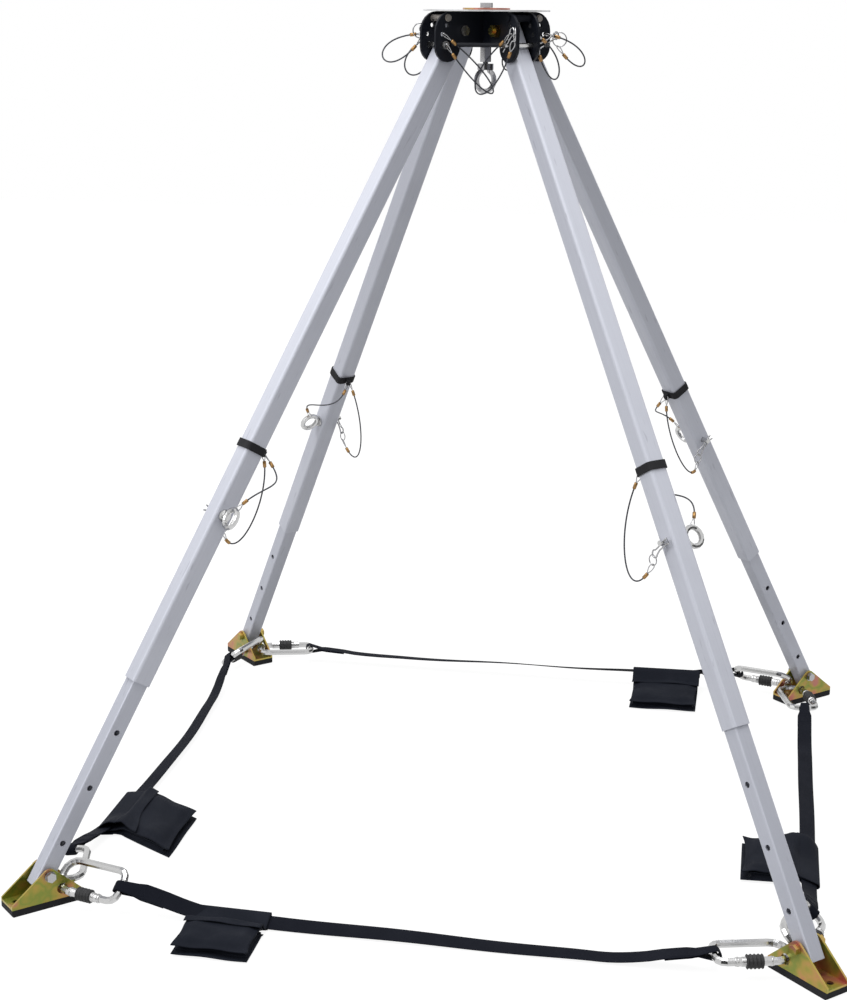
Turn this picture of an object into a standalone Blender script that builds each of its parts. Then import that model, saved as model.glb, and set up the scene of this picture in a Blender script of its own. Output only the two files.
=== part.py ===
"""Rescue quadpod: a plate head on four telescoping square legs, with hinged feet tied by webbing.

Metres, +Z up. The legs go out from the head on the four diagonals, and the strap lines between the
feet run along X and Y. Each leg is built in its own frame, with X out from the middle and Y round it
counter-clockwise, and is then turned to its place. Last, the whole object is moved so that the
origin is on the ground under the middle of its outline.
"""

import math

import bmesh
import bpy
from mathutils import Matrix, Vector

# Overall stance
LEG_LENGTH = 1.350          # head pivot to ankle bolt
SPLAY_DEG = 31.0            # leg from the vertical
PIVOT_RADIUS = 0.055        # head pivots from the middle
GAP = 0.0003                # between pieces that touch
LEGS = {"fl": -135.0, "fr": -45.0, "br": 45.0, "bl": 135.0}
SIDES = {"front": "fl", "right": "fr", "back": "br", "left": "bl"}

# Lower tube slides in the upper one
LOWER_WIDTH = 0.025
LOWER_WALL = 0.002
LOWER_CORNER = 0.0022
BORE_CORNER = 0.0014        # inside corner of the upper tube
SLIDE_CLEARANCE = 0.0005
UPPER_WALL = 0.002
UPPER_CORNER = 0.0042
UPPER_WIDTH = LOWER_WIDTH + 2 * (SLIDE_CLEARANCE + UPPER_WALL)
UPPER_TOP = 0.014           # upper tube past the head pivot
SLEEVE_END = 0.297          # upper tube's lower end above the ankle
LOWER_END = 0.022           # lower tube past the ankle
HOLE_PITCH = 0.086
HOLE_FIRST = 0.048          # first hole above the ankle
HOLE_COUNT = 10
PIN_HOLE = 6                # hole that the locking pin sits in
TOP_MARGIN = 0.030          # lower tube above its last hole
PIN_D = 0.008
PIN_PLAY = 0.0006           # pin to its hole, all round
HOLE_D = PIN_D + 2 * PIN_PLAY

# Eye pin that sets the leg's length
EYE_RING_R = 0.0140
EYE_ROD_D = 0.008
FLANGE_D = 0.019
FLANGE_T = 0.0025
PIN_TIP = 0.013             # pin past the far side, for its clip
CLIP_HOLE_D = 0.003
LOCK_HEAD_D = 0.012
LOCK_HEAD_T = 0.004

# Head
CHEEK_PLAY = 0.0015         # cheek plate to tube
CHEEK_T = 0.004
CHEEK_IN = UPPER_WIDTH / 2 + CHEEK_PLAY
CHEEK_OUT = CHEEK_IN + CHEEK_T
HEAD_TOP = 0.0274           # plate edge above the pivots
WEB_BOTTOM = -0.0235        # lower edge between the ears
EAR_OUT = 0.1045            # outermost point of an ear
EAR_SHOULDER_R = 0.0284
EAR_TOE_R = 0.0215
EAR_TOE_Z = -0.0230
EAR_HOLES = ((0.0850, 0.0077), (0.0925, -0.0050))
EAR_HOLE_D = 0.007
SPACER_AT = (0.0830, 0.0180)
SPACER_D = 0.010
SPACER_HEAD_D = 0.0092
SPACER_HEAD_T = 0.0025
PIN_DOWN_LEG = 0.035        # lock pin below the pivot, along the leg
BRACE_D = 0.006
BRACE_AT = (0.0780, -0.0192)
HUB_WIDTH = 0.0384
HUB_SHORT = 0.0005          # hub ends short of the plate edges
HUB_BORE_D = 0.0108
PIVOT_D = 0.010
PIVOT_HEAD_D = 0.0152
PIVOT_HEAD_T = 0.004
M10_FLATS = 0.017
M10_NUT_T = 0.008
BOLT_END = 0.004

# Top plate, centre bolt and swivel eye
DISC_D = 0.188
DISC_T = 0.002
WASHER_D = 0.070
WASHER_T = 0.0025
CENTRE_D = 0.010
CENTRE_HEAD_T = 0.0070
STEM_FLATS = 0.015
STEM_TOP = -0.0240
STEM_BOTTOM = -0.0450
SPINDLE_D = 0.008
SPINDLE_END_D = 0.012
SPINDLE_END_T = 0.003
COLLAR_D = 0.024
COLLAR_TOP = -0.0475
COLLAR_T = 0.009
EYE_R = 0.016
EYE_ROD = 0.008
EYE_LIFT = 0.001            # ring sunk into its collar
EYE_TURN_DEG = 45.0

# Foot
PAD_T = 0.010
PAD_BEVEL = 0.0018
FOOT_INNER = 0.050          # foot length inward of the ankle
FOOT_OUTER = 0.058
FOOT_WIDTH = 0.040
FOOT_SHEET = 0.003
ANKLE_HEIGHT = 0.048
CHEEK_APEX_R = 0.0108
CHEEK_TIP = 0.0060          # upright ends of the cheeks
CHAIN_HOLE_D = 0.016
CHAIN_HOLE = (-0.0180, -0.0228)
GROUND_HOLE_D = 0.010
GROUND_HOLE_AT = 0.044
RIVET_D = 0.006
RIVET_T = 0.0018
RIVET_AT = 0.029
ANKLE_D = 0.008
ANKLE_PLAY = 0.0004
M8_FLATS = 0.013
M8_HEAD_T = 0.0053
M8_WASHER_D = 0.016
M8_WASHER_T = 0.0015

# Band round each upper tube, which holds the lanyards
BAND_UP_LEG = 0.670         # above the ankle
BAND_WIDTH = 0.012
BAND_T = 0.002
LUG_SIZE = 0.009
LUG_HOLE_D = 0.004

# Carabiners
ROD_D = 0.011
LINK_LENGTH = 0.099         # centre line
LINK_WIDTH = 0.047
LINK_FOOT_CORNER = 0.020
LINK_STRAP_CORNER = 0.013
LINK_HANG_DEG = {"a": -117.7, "b": -128.0}  # place on the foot corner that sits in the hole
SLEEVE_D = 0.0160
SLEEVE_LENGTH = 0.018
GATE_D = 0.0126
GATE_LENGTH = 0.052
LINK_PULL = {"a": 0.0017, "b": 0.0015}      # toward the strap, off the middle of the hole
LINK_YAW_DEG = 15.0         # outward from the strap line
LINK_TILT_DEG = {"a": 40.0, "b": 2.0}

# Webbing and pouches
WEB_WIDTH = 0.025
WEB_T = 0.0022
WEB_SEWN = 0.044            # length of the sewn double layer
WEB_PLAY = 0.0012           # loop to rod
WEB_LOOP = 0.022            # end of the loop to its neck
WEB_GATHERED = 0.60         # width in the loop, as a share
POUCH_LENGTH = 0.110
POUCH_DEPTH = 0.118
POUCH_T = 0.015
POUCH_LIFT = 0.0028
FLAP_T = 0.0025
FLAP_DEPTH = 0.034
POUCH_PLAY = 0.0013
POUCH_BLEND = 0.016         # from the webbing's twist to the level body
# Share along the strap, side (1 is outward) and sideways lean of each pouch
POUCHES = {
    "front": (0.193, 1, 0.0),
    "right": (0.260, -1, 0.0),
    "back": (0.160, -1, 0.0),
    "left": (0.790, -1, 0.70),
}

SPLAY = math.radians(SPLAY_DEG)
HEAD_Z = ANKLE_HEIGHT + LEG_LENGTH * math.cos(SPLAY)
ANKLE_RADIUS = PIVOT_RADIUS + LEG_LENGTH * math.sin(SPLAY)
ROUND = 16
SMALL_ROUND = 10


def clear_scene():
    """Remove what is in the file, and make the two collections."""
    for old in list(bpy.data.objects):
        bpy.data.objects.remove(old, do_unlink=True)
    made = []
    for name in ("rescue_quadpod", "cutters"):
        box = bpy.data.collections.new(name)
        bpy.context.scene.collection.children.link(box)
        made.append(box)
    return made


PARTS, CUTTERS = clear_scene()


def material(name, colour, roughness, metallic):
    """One Principled material."""
    made = bpy.data.materials.new(name)
    made.use_nodes = True
    shader = made.node_tree.nodes["Principled BSDF"]
    shader.inputs["Base Color"].default_value = (*colour, 1.0)
    shader.inputs["Roughness"].default_value = roughness
    shader.inputs["Metallic"].default_value = metallic
    return made


ALUMINIUM = material("anodised_aluminium", (0.62, 0.65, 0.72), 0.38, 0.9)
INNER_ALUMINIUM = material("plain_aluminium", (0.56, 0.58, 0.64), 0.42, 0.9)
BLACK_STEEL = material("black_powder_coat", (0.012, 0.014, 0.020), 0.42, 0.0)
PAINT = material("pale_paint", (0.72, 0.73, 0.74), 0.35, 0.2)
CHROMATE = material("yellow_chromate_steel", (0.45, 0.38, 0.16), 0.35, 0.9)
STEEL = material("bright_steel", (0.66, 0.66, 0.67), 0.22, 1.0)
RUBBER = material("black_rubber", (0.02, 0.02, 0.022), 0.8, 0.0)
WEBBING = material("black_webbing", (0.012, 0.014, 0.022), 0.85, 0.0)
FABRIC = material("black_fabric", (0.018, 0.020, 0.028), 0.8, 0.0)


def finish(obj, name, mat, round_deg=35.0):
    """Name a part, give it its material and shade its round sides smooth."""
    obj.name = name
    obj.data.name = name
    obj.data.materials.clear()
    obj.data.materials.append(mat)
    obj.data.shade_smooth()
    obj.data.set_sharp_from_angle(angle=math.radians(round_deg))
    return obj


def face_out(bm):
    """Make all faces of a closed shape point out."""
    bmesh.ops.recalc_face_normals(bm, faces=bm.faces)
    if bm.calc_volume(signed=True) < 0:
        bmesh.ops.reverse_faces(bm, faces=bm.faces)


def from_bmesh(bm, name, box=None):
    """Turn a bmesh into a linked object."""
    face_out(bm)
    mesh = bpy.data.meshes.new(name)
    bm.to_mesh(mesh)
    bm.free()
    obj = bpy.data.objects.new(name, mesh)
    (box or PARTS).objects.link(obj)
    return obj


AXES = {
    "x": Matrix.Rotation(math.pi / 2, 4, "Y"),
    "y": Matrix.Rotation(-math.pi / 2, 4, "X"),
    "z": Matrix.Identity(4),
}


def cylinder(at, diameter, length, axis="z", sides=ROUND, box=None, turn=0.0):
    """A closed cylinder centred on a point; six sides and flats for a hexagon."""
    bm = bmesh.new()
    place = Matrix.Translation(at) @ AXES[axis] @ Matrix.Rotation(turn, 4, "Z")
    bmesh.ops.create_cone(bm, cap_ends=True, segments=sides, radius1=diameter / 2,
                          radius2=diameter / 2, depth=length, matrix=place)
    return from_bmesh(bm, "cylinder", box)


def span(axis, start, end, at, diameter, sides=ROUND, box=None, turn=0.0):
    """A cylinder along an axis from one coordinate to another; at holds the other two."""
    middle = (start + end) / 2
    point = {"x": (middle, *at), "y": (at[0], middle, at[1]), "z": (*at, middle)}[axis]
    return cylinder(point, diameter, end - start, axis, sides, box, turn)


def block(low, high, box=None):
    """A box between two corners."""
    bm = bmesh.new()
    size = [b - a for a, b in zip(low, high)]
    middle = [(a + b) / 2 for a, b in zip(low, high)]
    bmesh.ops.create_cube(bm, size=1.0, matrix=Matrix.Translation(middle) @ Matrix.Diagonal((*size, 1)))
    return from_bmesh(bm, "block", box)


def arc(centre, radius, start_deg, end_deg, steps):
    """Points on an arc, ends included."""
    turns = [math.radians(start_deg + (end_deg - start_deg) * i / steps) for i in range(steps + 1)]
    return [(centre[0] + radius * math.cos(a), centre[1] + radius * math.sin(a)) for a in turns]


def rounded_rectangle(width, height, corner, steps):
    """Outline of a rectangle with round corners, centred on the origin."""
    points = []
    for i, (sx, sy) in enumerate(((1, 1), (-1, 1), (-1, -1), (1, -1))):
        centre = (sx * (width / 2 - corner), sy * (height / 2 - corner))
        points += arc(centre, corner, 90 * i, 90 * i + 90, steps)
    return points


def plate(outlines, thickness, box=None):
    """Flat outlines in XY, the inner ones as holes, made a welded mesh of a given thickness."""
    curve = bpy.data.curves.new("outline", "CURVE")
    curve.dimensions = "2D"
    curve.fill_mode = "BOTH"
    curve.extrude = thickness / 2
    for points in outlines:
        spline = curve.splines.new("POLY")
        spline.points.add(len(points) - 1)
        for point, (x, y) in zip(spline.points, points):
            point.co = (x, y, 0, 1)
        spline.use_cyclic_u = True
    return solid_from_curve(curve, box)


def tube_along(points, diameter, cyclic=False, resolution=2, box=None):
    """A round bar along points, made a welded mesh."""
    curve = bpy.data.curves.new("bar", "CURVE")
    curve.dimensions = "3D"
    curve.bevel_depth = diameter / 2
    curve.bevel_resolution = resolution
    curve.use_fill_caps = not cyclic
    spline = curve.splines.new("POLY")
    spline.points.add(len(points) - 1)
    for point, co in zip(spline.points, points):
        point.co = (*co, 1)
    spline.use_cyclic_u = cyclic
    return solid_from_curve(curve, box)


def solid_from_curve(curve, box=None):
    """Mesh of a curve with its caps welded."""
    source = bpy.data.objects.new("source", curve)
    bpy.context.scene.collection.objects.link(source)
    graph = bpy.context.evaluated_depsgraph_get()
    mesh = bpy.data.meshes.new_from_object(source.evaluated_get(graph))
    matrix = source.matrix_world.copy()
    bpy.data.objects.remove(source)
    bm = bmesh.new()
    bm.from_mesh(mesh)
    bmesh.ops.remove_doubles(bm, verts=bm.verts, dist=0.00001)
    obj = from_bmesh(bm, "solid", box)
    obj.matrix_world = matrix
    return obj


def move(obj, matrix):
    """Apply a transform to an object's mesh."""
    obj.data.transform(matrix)
    if matrix.determinant() < 0:
        obj.data.flip_normals()
    return obj


def combine(base, tools, operation):
    """Boolean the tools into the base, as modifiers whose tools are hidden cutters."""
    for tool in tools:
        for owner in list(tool.users_collection):
            owner.objects.unlink(tool)
        CUTTERS.objects.link(tool)
        tool.hide_render = True
        tool.display_type = "WIRE"
        change = base.modifiers.new(operation.lower(), "BOOLEAN")
        change.operation = operation
        change.solver = "EXACT"
        change.object = tool
        graph = bpy.context.evaluated_depsgraph_get()
        mesh = bpy.data.meshes.new_from_object(base.evaluated_get(graph))
        base.modifiers.clear()
        base.data = mesh
    weld(base)
    return base


def weld(obj):
    """Merge points that a Boolean left on top of each other."""
    bm = bmesh.new()
    bm.from_mesh(obj.data)
    bmesh.ops.remove_doubles(bm, verts=bm.verts, dist=0.000002)
    bm.to_mesh(obj.data)
    bm.free()


def join(base, *tools):
    """Union of touching shapes."""
    return combine(base, tools, "UNION")


def gather(tools):
    """One cutter made of separate shapes that do not touch."""
    bm = bmesh.new()
    for tool in tools:
        bm.from_mesh(tool.data)
        bpy.data.objects.remove(tool)
    return from_bmesh(bm, "cutter", CUTTERS)


def cut(base, *tools):
    """Base less the tools, which stand clear of each other."""
    return combine(base, [gather(tools)], "DIFFERENCE")


def empty(name, matrix):
    """An empty at a joint."""
    made = bpy.data.objects.new(name, None)
    PARTS.objects.link(made)
    made.matrix_world = matrix
    return made


def hold(obj, parent):
    """Parent an object whose mesh is in the parent's frame."""
    obj.parent = parent
    return obj


def hexagon(at, flats, thickness, axis, turn=0.0):
    """A hexagon head or nut, centred on a point."""
    return cylinder(at, flats / math.cos(math.pi / 6), thickness, axis, 6, None, turn)


def square_tube(width, corner, wall, inner_corner, top, bottom, steps):
    """A square tube along Z from top down to bottom."""
    outer = rounded_rectangle(width, width, corner, steps)
    inner = rounded_rectangle(width - 2 * wall, width - 2 * wall, inner_corner, 1)
    tube = plate([outer, inner], top - bottom)
    return move(tube, Matrix.Translation((0, 0, (top + bottom) / 2)))


def along_leg(up_from_ankle):
    """Leg-frame Z of a place given by its height up the leg from the ankle."""
    return up_from_ankle - LEG_LENGTH


def cross_hole(z, diameter, sides=SMALL_ROUND):
    """A cutter across the leg, along its hinge axes."""
    return cylinder((0, 0, z), diameter, 2 * UPPER_WIDTH, "y", sides, CUTTERS)


def upper_tube():
    tube = square_tube(UPPER_WIDTH, UPPER_CORNER, UPPER_WALL, BORE_CORNER, UPPER_TOP,
                       along_leg(SLEEVE_END), 3)
    pin_z = along_leg(HOLE_FIRST + PIN_HOLE * HOLE_PITCH)
    return cut(tube, cross_hole(0, PIVOT_D + 2 * PIN_PLAY, ROUND), cross_hole(pin_z, HOLE_D))


def lower_tube():
    last = HOLE_FIRST + (HOLE_COUNT - 1) * HOLE_PITCH
    tube = square_tube(LOWER_WIDTH, LOWER_CORNER, LOWER_WALL, 0.0012, along_leg(last + TOP_MARGIN),
                       along_leg(-LOWER_END), 2)
    holes = [cross_hole(along_leg(HOLE_FIRST + i * HOLE_PITCH), HOLE_D, 8) for i in range(HOLE_COUNT)]
    ankle = cross_hole(along_leg(0), ANKLE_D + 2 * ANKLE_PLAY, 12)
    return cut(tube, ankle, *holes)


def band():
    """Clamp band with a lug on the leg's inner face."""
    bore = UPPER_WIDTH + 2 * GAP
    outer = rounded_rectangle(bore + 2 * BAND_T, bore + 2 * BAND_T, UPPER_CORNER + BAND_T, 3)
    inner = rounded_rectangle(bore, bore, UPPER_CORNER, 3)
    ring = plate([outer, inner], BAND_WIDTH)
    z = along_leg(BAND_UP_LEG)
    move(ring, Matrix.Translation((0, 0, z)))
    face = -bore / 2 - BAND_T / 2
    lug = block((face - LUG_SIZE, -LUG_SIZE / 3, z - LUG_SIZE / 2), (face, LUG_SIZE / 3, z + LUG_SIZE / 2))
    hole = cylinder((face - 0.6 * LUG_SIZE, 0, z), LUG_HOLE_D, LUG_SIZE, "y", SMALL_ROUND)
    return cut(join(ring, lug), hole)


def ring_bar(centre, radius, rod, plane_axis, steps=16):
    """A round ring whose hole runs along X or Y."""
    points = []
    for i in range(steps):
        a = 2 * math.pi * i / steps
        flat = (radius * math.cos(a), radius * math.sin(a))
        offset = (0, flat[0], flat[1]) if plane_axis == "x" else (flat[0], 0, flat[1])
        points.append(tuple(c + o for c, o in zip(centre, offset)))
    return tube_along(points, rod, cyclic=True)


def eye_pin():
    """Pin through both tubes, with a flange and a pull ring on its counter-clockwise side."""
    z = along_leg(HOLE_FIRST + PIN_HOLE * HOLE_PITCH)
    face = UPPER_WIDTH / 2 + GAP
    shank = span("y", -face - PIN_TIP, face + FLANGE_T / 2, (0, z), PIN_D, SMALL_ROUND)
    flange = span("y", face, face + FLANGE_T, (0, z), FLANGE_D)
    ring = ring_bar((0, face + FLANGE_T + EYE_RING_R + EYE_ROD_D * 0.3, z), EYE_RING_R, EYE_ROD_D, "x", 14)
    pin = join(flange, shank, ring)
    clip = cylinder((0, -face - PIN_TIP * 0.6, z), CLIP_HOLE_D, 2 * PIN_D, "x", 6)
    return cut(pin, clip)


def lock_pin_place():
    """Centre of the head lock pin in the leg frame: against the leg's outer face."""
    return UPPER_WIDTH / 2 + GAP + PIN_D / 2, -PIN_DOWN_LEG


def lock_pin():
    """Straight pin across the ears with a round head on its counter-clockwise side."""
    x, z = lock_pin_place()
    face = CHEEK_OUT + GAP
    shank = span("y", -face - PIN_TIP, face + LOCK_HEAD_T / 2, (x, z), PIN_D, 12)
    head = span("y", face, face + LOCK_HEAD_T, (x, z), LOCK_HEAD_D, 12)
    clip = cylinder((x, -face - PIN_TIP * 0.6, z), CLIP_HOLE_D, 2 * PIN_D, "x", 6)
    return cut(join(head, shank), clip)


def pivot_bolt():
    """Hinge bolt of a leg: round head on one side, nut on the other."""
    face = CHEEK_OUT + GAP
    shank = span("y", -face - M10_NUT_T - BOLT_END, face + PIVOT_HEAD_T / 2, (0, 0), PIVOT_D, 12)
    head = span("y", face, face + PIVOT_HEAD_T, (0, 0), PIVOT_HEAD_D, ROUND)
    nut = hexagon((0, -face - M10_NUT_T / 2, 0), M10_FLATS, M10_NUT_T, "y")
    return join(shank, head, nut)


def ankle_bolt():
    """Hinge bolt of a foot, with washers outside both cheeks."""
    face = FOOT_WIDTH / 2 + GAP
    outer = face + M8_WASHER_T
    pieces = [span("y", -outer - M8_HEAD_T / 2, outer + M8_HEAD_T / 2, (0, 0), ANKLE_D, 12)]
    for side in (1, -1):
        near, far = sorted((side * face, side * outer))
        pieces.append(span("y", near, far, (0, 0), M8_WASHER_D, 12))
        pieces.append(hexagon((0, side * (outer + M8_HEAD_T / 2), 0), M8_FLATS, M8_HEAD_T, "y"))
    return join(*pieces)


def cheek_outline():
    """Side view of a foot cheek about the ankle: round apex over a long low triangle."""
    foot = PAD_T + GAP - ANKLE_HEIGHT
    tip = foot + CHEEK_TIP
    points = [(FOOT_OUTER, foot), (FOOT_OUTER, tip)]
    for side, end in ((1, FOOT_OUTER), (-1, -FOOT_INNER)):
        reach = math.hypot(end, tip)
        away = math.degrees(math.atan2(tip, end))
        touch = away + side * math.degrees(math.acos(CHEEK_APEX_R / reach))
        points.append(touch % 360)
    start, stop = points[2], points[3]
    sweep = arc((0, 0), CHEEK_APEX_R, start, stop, 6)
    return [points[0], points[1], *sweep, (-FOOT_INNER, tip), (-FOOT_INNER, foot)]


def foot_bracket():
    """Folded channel: a base plate and two cheeks, about the ankle."""
    cheeks = []
    for side in (1, -1):
        sheet = plate([cheek_outline()], FOOT_SHEET)
        stand = Matrix.Rotation(math.pi / 2, 4, "X")
        across = side * (FOOT_WIDTH - FOOT_SHEET) / 2
        cheeks.append(move(sheet, Matrix.Translation((0, across, 0)) @ stand))
    low = PAD_T + GAP - ANKLE_HEIGHT
    base = block((-FOOT_INNER + GAP, -FOOT_WIDTH / 2 + FOOT_SHEET / 2, low),
                 (FOOT_OUTER - GAP, FOOT_WIDTH / 2 - FOOT_SHEET / 2, low + FOOT_SHEET))
    channel = join(base, *cheeks)
    rivet = span("z", low + FOOT_SHEET / 2, low + FOOT_SHEET + RIVET_T, (RIVET_AT, 0), RIVET_D, SMALL_ROUND)
    join(channel, rivet)
    ankle = cylinder((0, 0, 0), ANKLE_D + 2 * ANKLE_PLAY, 2 * FOOT_WIDTH, "y", 12)
    chain = cylinder((CHAIN_HOLE[0], 0, CHAIN_HOLE[1]), CHAIN_HOLE_D, 2 * FOOT_WIDTH, "y", ROUND)
    ground = cylinder((GROUND_HOLE_AT, 0, low), GROUND_HOLE_D, 4 * FOOT_SHEET, "z", 12)
    return cut(channel, ankle, chain, ground)


def foot_pad():
    """Rubber sole with a bevelled lower edge and the ground hole."""
    low = -ANKLE_HEIGHT
    outline = [(-FOOT_INNER, low + PAD_T), (-FOOT_INNER, low + PAD_BEVEL), (-FOOT_INNER + PAD_BEVEL, low),
               (FOOT_OUTER - PAD_BEVEL, low), (FOOT_OUTER, low + PAD_BEVEL), (FOOT_OUTER, low + PAD_T)]
    sole = move(plate([outline], FOOT_WIDTH), Matrix.Rotation(math.pi / 2, 4, "X"))
    ground = cylinder((GROUND_HOLE_AT, 0, low), GROUND_HOLE_D, 4 * PAD_T, "z", 12)
    return cut(sole, ground)


def ear_outline():
    """Side view of one wing of a head plate: X out from the middle, Y up from the pivots."""
    bend = CHEEK_IN
    shoulder = EAR_OUT - EAR_SHOULDER_R
    top = arc((shoulder, HEAD_TOP - EAR_SHOULDER_R), EAR_SHOULDER_R, 90, 0, 6)
    toe = arc((EAR_OUT - EAR_TOE_R, EAR_TOE_Z), EAR_TOE_R, 0, -180, 10)
    return [(bend, HEAD_TOP), *top, *toe, (bend, WEB_BOTTOM)]


def bay_plate():
    """Bent plate of the bay counter-clockwise of a leg: two wings that meet at a mitred corner."""
    wing = plate([ear_outline()], CHEEK_T)
    place = Matrix.Translation((0, (CHEEK_IN + CHEEK_OUT) / 2, 0))
    move(wing, place @ Matrix.Rotation(math.pi / 2, 4, "X"))
    bm = bmesh.new()
    bm.from_mesh(wing.data)
    corner = [vert for vert in bm.verts if vert.co.x < CHEEK_OUT]
    for vert in corner:
        vert.co.x = vert.co.y
    ends = [face for face in bm.faces if all(vert in corner for vert in face.verts)]
    bmesh.ops.delete(bm, geom=ends, context="FACES_ONLY")
    twin = bmesh.ops.duplicate(bm, geom=list(bm.verts) + list(bm.edges) + list(bm.faces))
    swap = Matrix(((0, 1, 0), (1, 0, 0), (0, 0, 1)))
    for item in twin["geom"]:
        if isinstance(item, bmesh.types.BMVert):
            item.co = swap @ item.co
    bmesh.ops.remove_doubles(bm, verts=bm.verts, dist=0.00001)
    bpy.data.objects.remove(wing)
    return from_bmesh(bm, "bay_plate")


def brace():
    """Rod across the bay between two legs' ears, with its ends turned square into the plates."""
    radius, height = BRACE_AT
    root = CHEEK_OUT - CHEEK_T * 0.7
    bend = CHEEK_OUT + BRACE_D * 0.8
    one = [Vector((radius, root, height)), Vector((radius, bend, height))]
    other = [Vector((bend, radius, height)), Vector((root, radius, height))]
    return tube_along([*one, *other], BRACE_D, resolution=1)


def head_holes():
    """Cutters for one leg's pivot, lock pin and spare holes."""
    x, z = lock_pin_place()
    lean = Matrix.Rotation(-SPLAY, 4, "Y")
    lock = lean @ Vector((x, 0, z)) + Vector((PIVOT_RADIUS, 0, 0))
    through = 4 * CHEEK_OUT
    cutters = [cylinder((PIVOT_RADIUS, 0, 0), PIVOT_D + 2 * PIN_PLAY, through, "y", 12)]
    cutters.append(cylinder((lock.x, 0, lock.z), HOLE_D, through, "y", SMALL_ROUND))
    for hole_x, hole_z in EAR_HOLES:
        cutters.append(cylinder((hole_x, 0, hole_z), EAR_HOLE_D, through, "y", 8))
    return cutters


def head_frame():
    """Four bent plates round a hub, with spacers between the ears and a brace across each bay."""
    half = HUB_WIDTH / 2
    pieces = [block((-half, -half, WEB_BOTTOM + HUB_SHORT), (half, half, HEAD_TOP - HUB_SHORT))]
    move(pieces[0], Matrix.Rotation(math.radians(45), 4, "Z"))
    holes = []
    for angle in LEGS.values():
        turn = Matrix.Rotation(math.radians(angle), 4, "Z")
        pieces.append(move(bay_plate(), turn))
        spacer = span("y", -CHEEK_OUT - SPACER_HEAD_T, CHEEK_OUT + SPACER_HEAD_T, SPACER_AT,
                      SPACER_HEAD_D, SMALL_ROUND)
        sleeve = span("y", -CHEEK_OUT + CHEEK_T / 2, CHEEK_OUT - CHEEK_T / 2, SPACER_AT, SPACER_D,
                      SMALL_ROUND)
        pieces += [move(spacer, turn), move(sleeve, turn)]
        pieces.append(move(brace(), turn))
        holes += [move(tool, turn) for tool in head_holes()]
    bore = cylinder((0, 0, 0), HUB_BORE_D, 4 * HEAD_TOP, "z", ROUND)
    frame = cut(join(*pieces), bore, *holes)
    return frame


def disc(low, thickness, diameter, sides):
    """Round plate over the head, with the centre bolt's hole."""
    whole = span("z", low, low + thickness, (0, 0), diameter, sides)
    return cut(whole, cylinder((0, 0, low), HUB_BORE_D, 4 * thickness, "z", ROUND))


def centre_bolt():
    """Bolt down through the head: hexagon head, shank, coupling nut and headed spindle."""
    seat = HEAD_TOP + DISC_T + WASHER_T + 3 * GAP
    head = hexagon((0, 0, seat + CENTRE_HEAD_T / 2), M10_FLATS, CENTRE_HEAD_T, "z")
    shank = span("z", STEM_BOTTOM + 0.001, seat + 0.001, (0, 0), CENTRE_D, 12)
    stem = hexagon((0, 0, (STEM_TOP + STEM_BOTTOM) / 2), STEM_FLATS, STEM_TOP - STEM_BOTTOM, "z")
    low = COLLAR_TOP - COLLAR_T + 0.0035
    spindle = span("z", low - SPINDLE_END_T / 2, STEM_BOTTOM + 0.001, (0, 0), SPINDLE_D, 12)
    end = span("z", low - SPINDLE_END_T, low, (0, 0), SPINDLE_END_D, 12)
    return join(shank, head, stem, spindle, end)


def swivel_eye():
    """Turning collar, open below over the spindle's head, with a ring under it."""
    low = COLLAR_TOP - COLLAR_T
    collar = span("z", low, COLLAR_TOP, (0, 0), COLLAR_D, ROUND)
    ring = ring_bar((0, 0, low - EYE_R - EYE_ROD / 2 + EYE_LIFT + 0.0035), EYE_R, EYE_ROD, "y", 20)
    eye = join(collar, ring)
    bore = span("z", low - 0.001, COLLAR_TOP + 0.001, (0, 0), SPINDLE_D + 2 * PIN_PLAY, 12)
    pocket = span("z", low - EYE_ROD, low + 0.0035 + GAP, (0, 0), SPINDLE_END_D + 2 * PIN_PLAY, 12)
    return cut(cut(eye, bore), pocket)


def link_matrix(kind):
    """Place of a carabiner in a leg frame at the ankle, with Y mirrored for the second kind.

    The link is drawn in XY with its foot end at X = 0 and its gate at the low Y side. The middle
    of one corner goes through the cheek's chain hole.
    """
    along = Matrix.Rotation(math.radians(135.0 - LINK_YAW_DEG), 4, "Z")
    turn = along @ Matrix.Rotation(math.radians(LINK_TILT_DEG[kind]), 4, "X")
    hole = Vector((CHAIN_HOLE[0], (FOOT_WIDTH - FOOT_SHEET) / 2, CHAIN_HOLE[1]))
    hang = Vector((LINK_PULL[kind], 0, 0)) - link_corner(kind)
    place = Matrix.Translation(hole) @ turn @ Matrix.Translation(hang)
    mirror = Matrix.Diagonal((1, -1, 1, 1)) if kind == "b" else Matrix.Identity(4)
    return mirror @ place


def link_corner(kind):
    """The point of the link that sits in the chain hole."""
    corner = LINK_FOOT_CORNER
    turn = math.radians(LINK_HANG_DEG[kind])
    return Vector((corner * (1 + math.cos(turn)), corner * (1 + math.sin(turn)) - LINK_WIDTH / 2, 0))


def link_outline():
    """Centre line of a link: wide round corners at the foot end, tighter ones at the strap end."""
    half = LINK_WIDTH / 2
    far = LINK_LENGTH - LINK_STRAP_CORNER
    near = LINK_FOOT_CORNER
    points = arc((far, LINK_STRAP_CORNER - half), LINK_STRAP_CORNER, -90, 0, 3)
    points += arc((far, half - LINK_STRAP_CORNER), LINK_STRAP_CORNER, 0, 90, 3)
    points += arc((near, half - near), near, 90, 180, 4)
    points += arc((near, near - half), near, 180, 270, 4)
    return points


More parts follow.
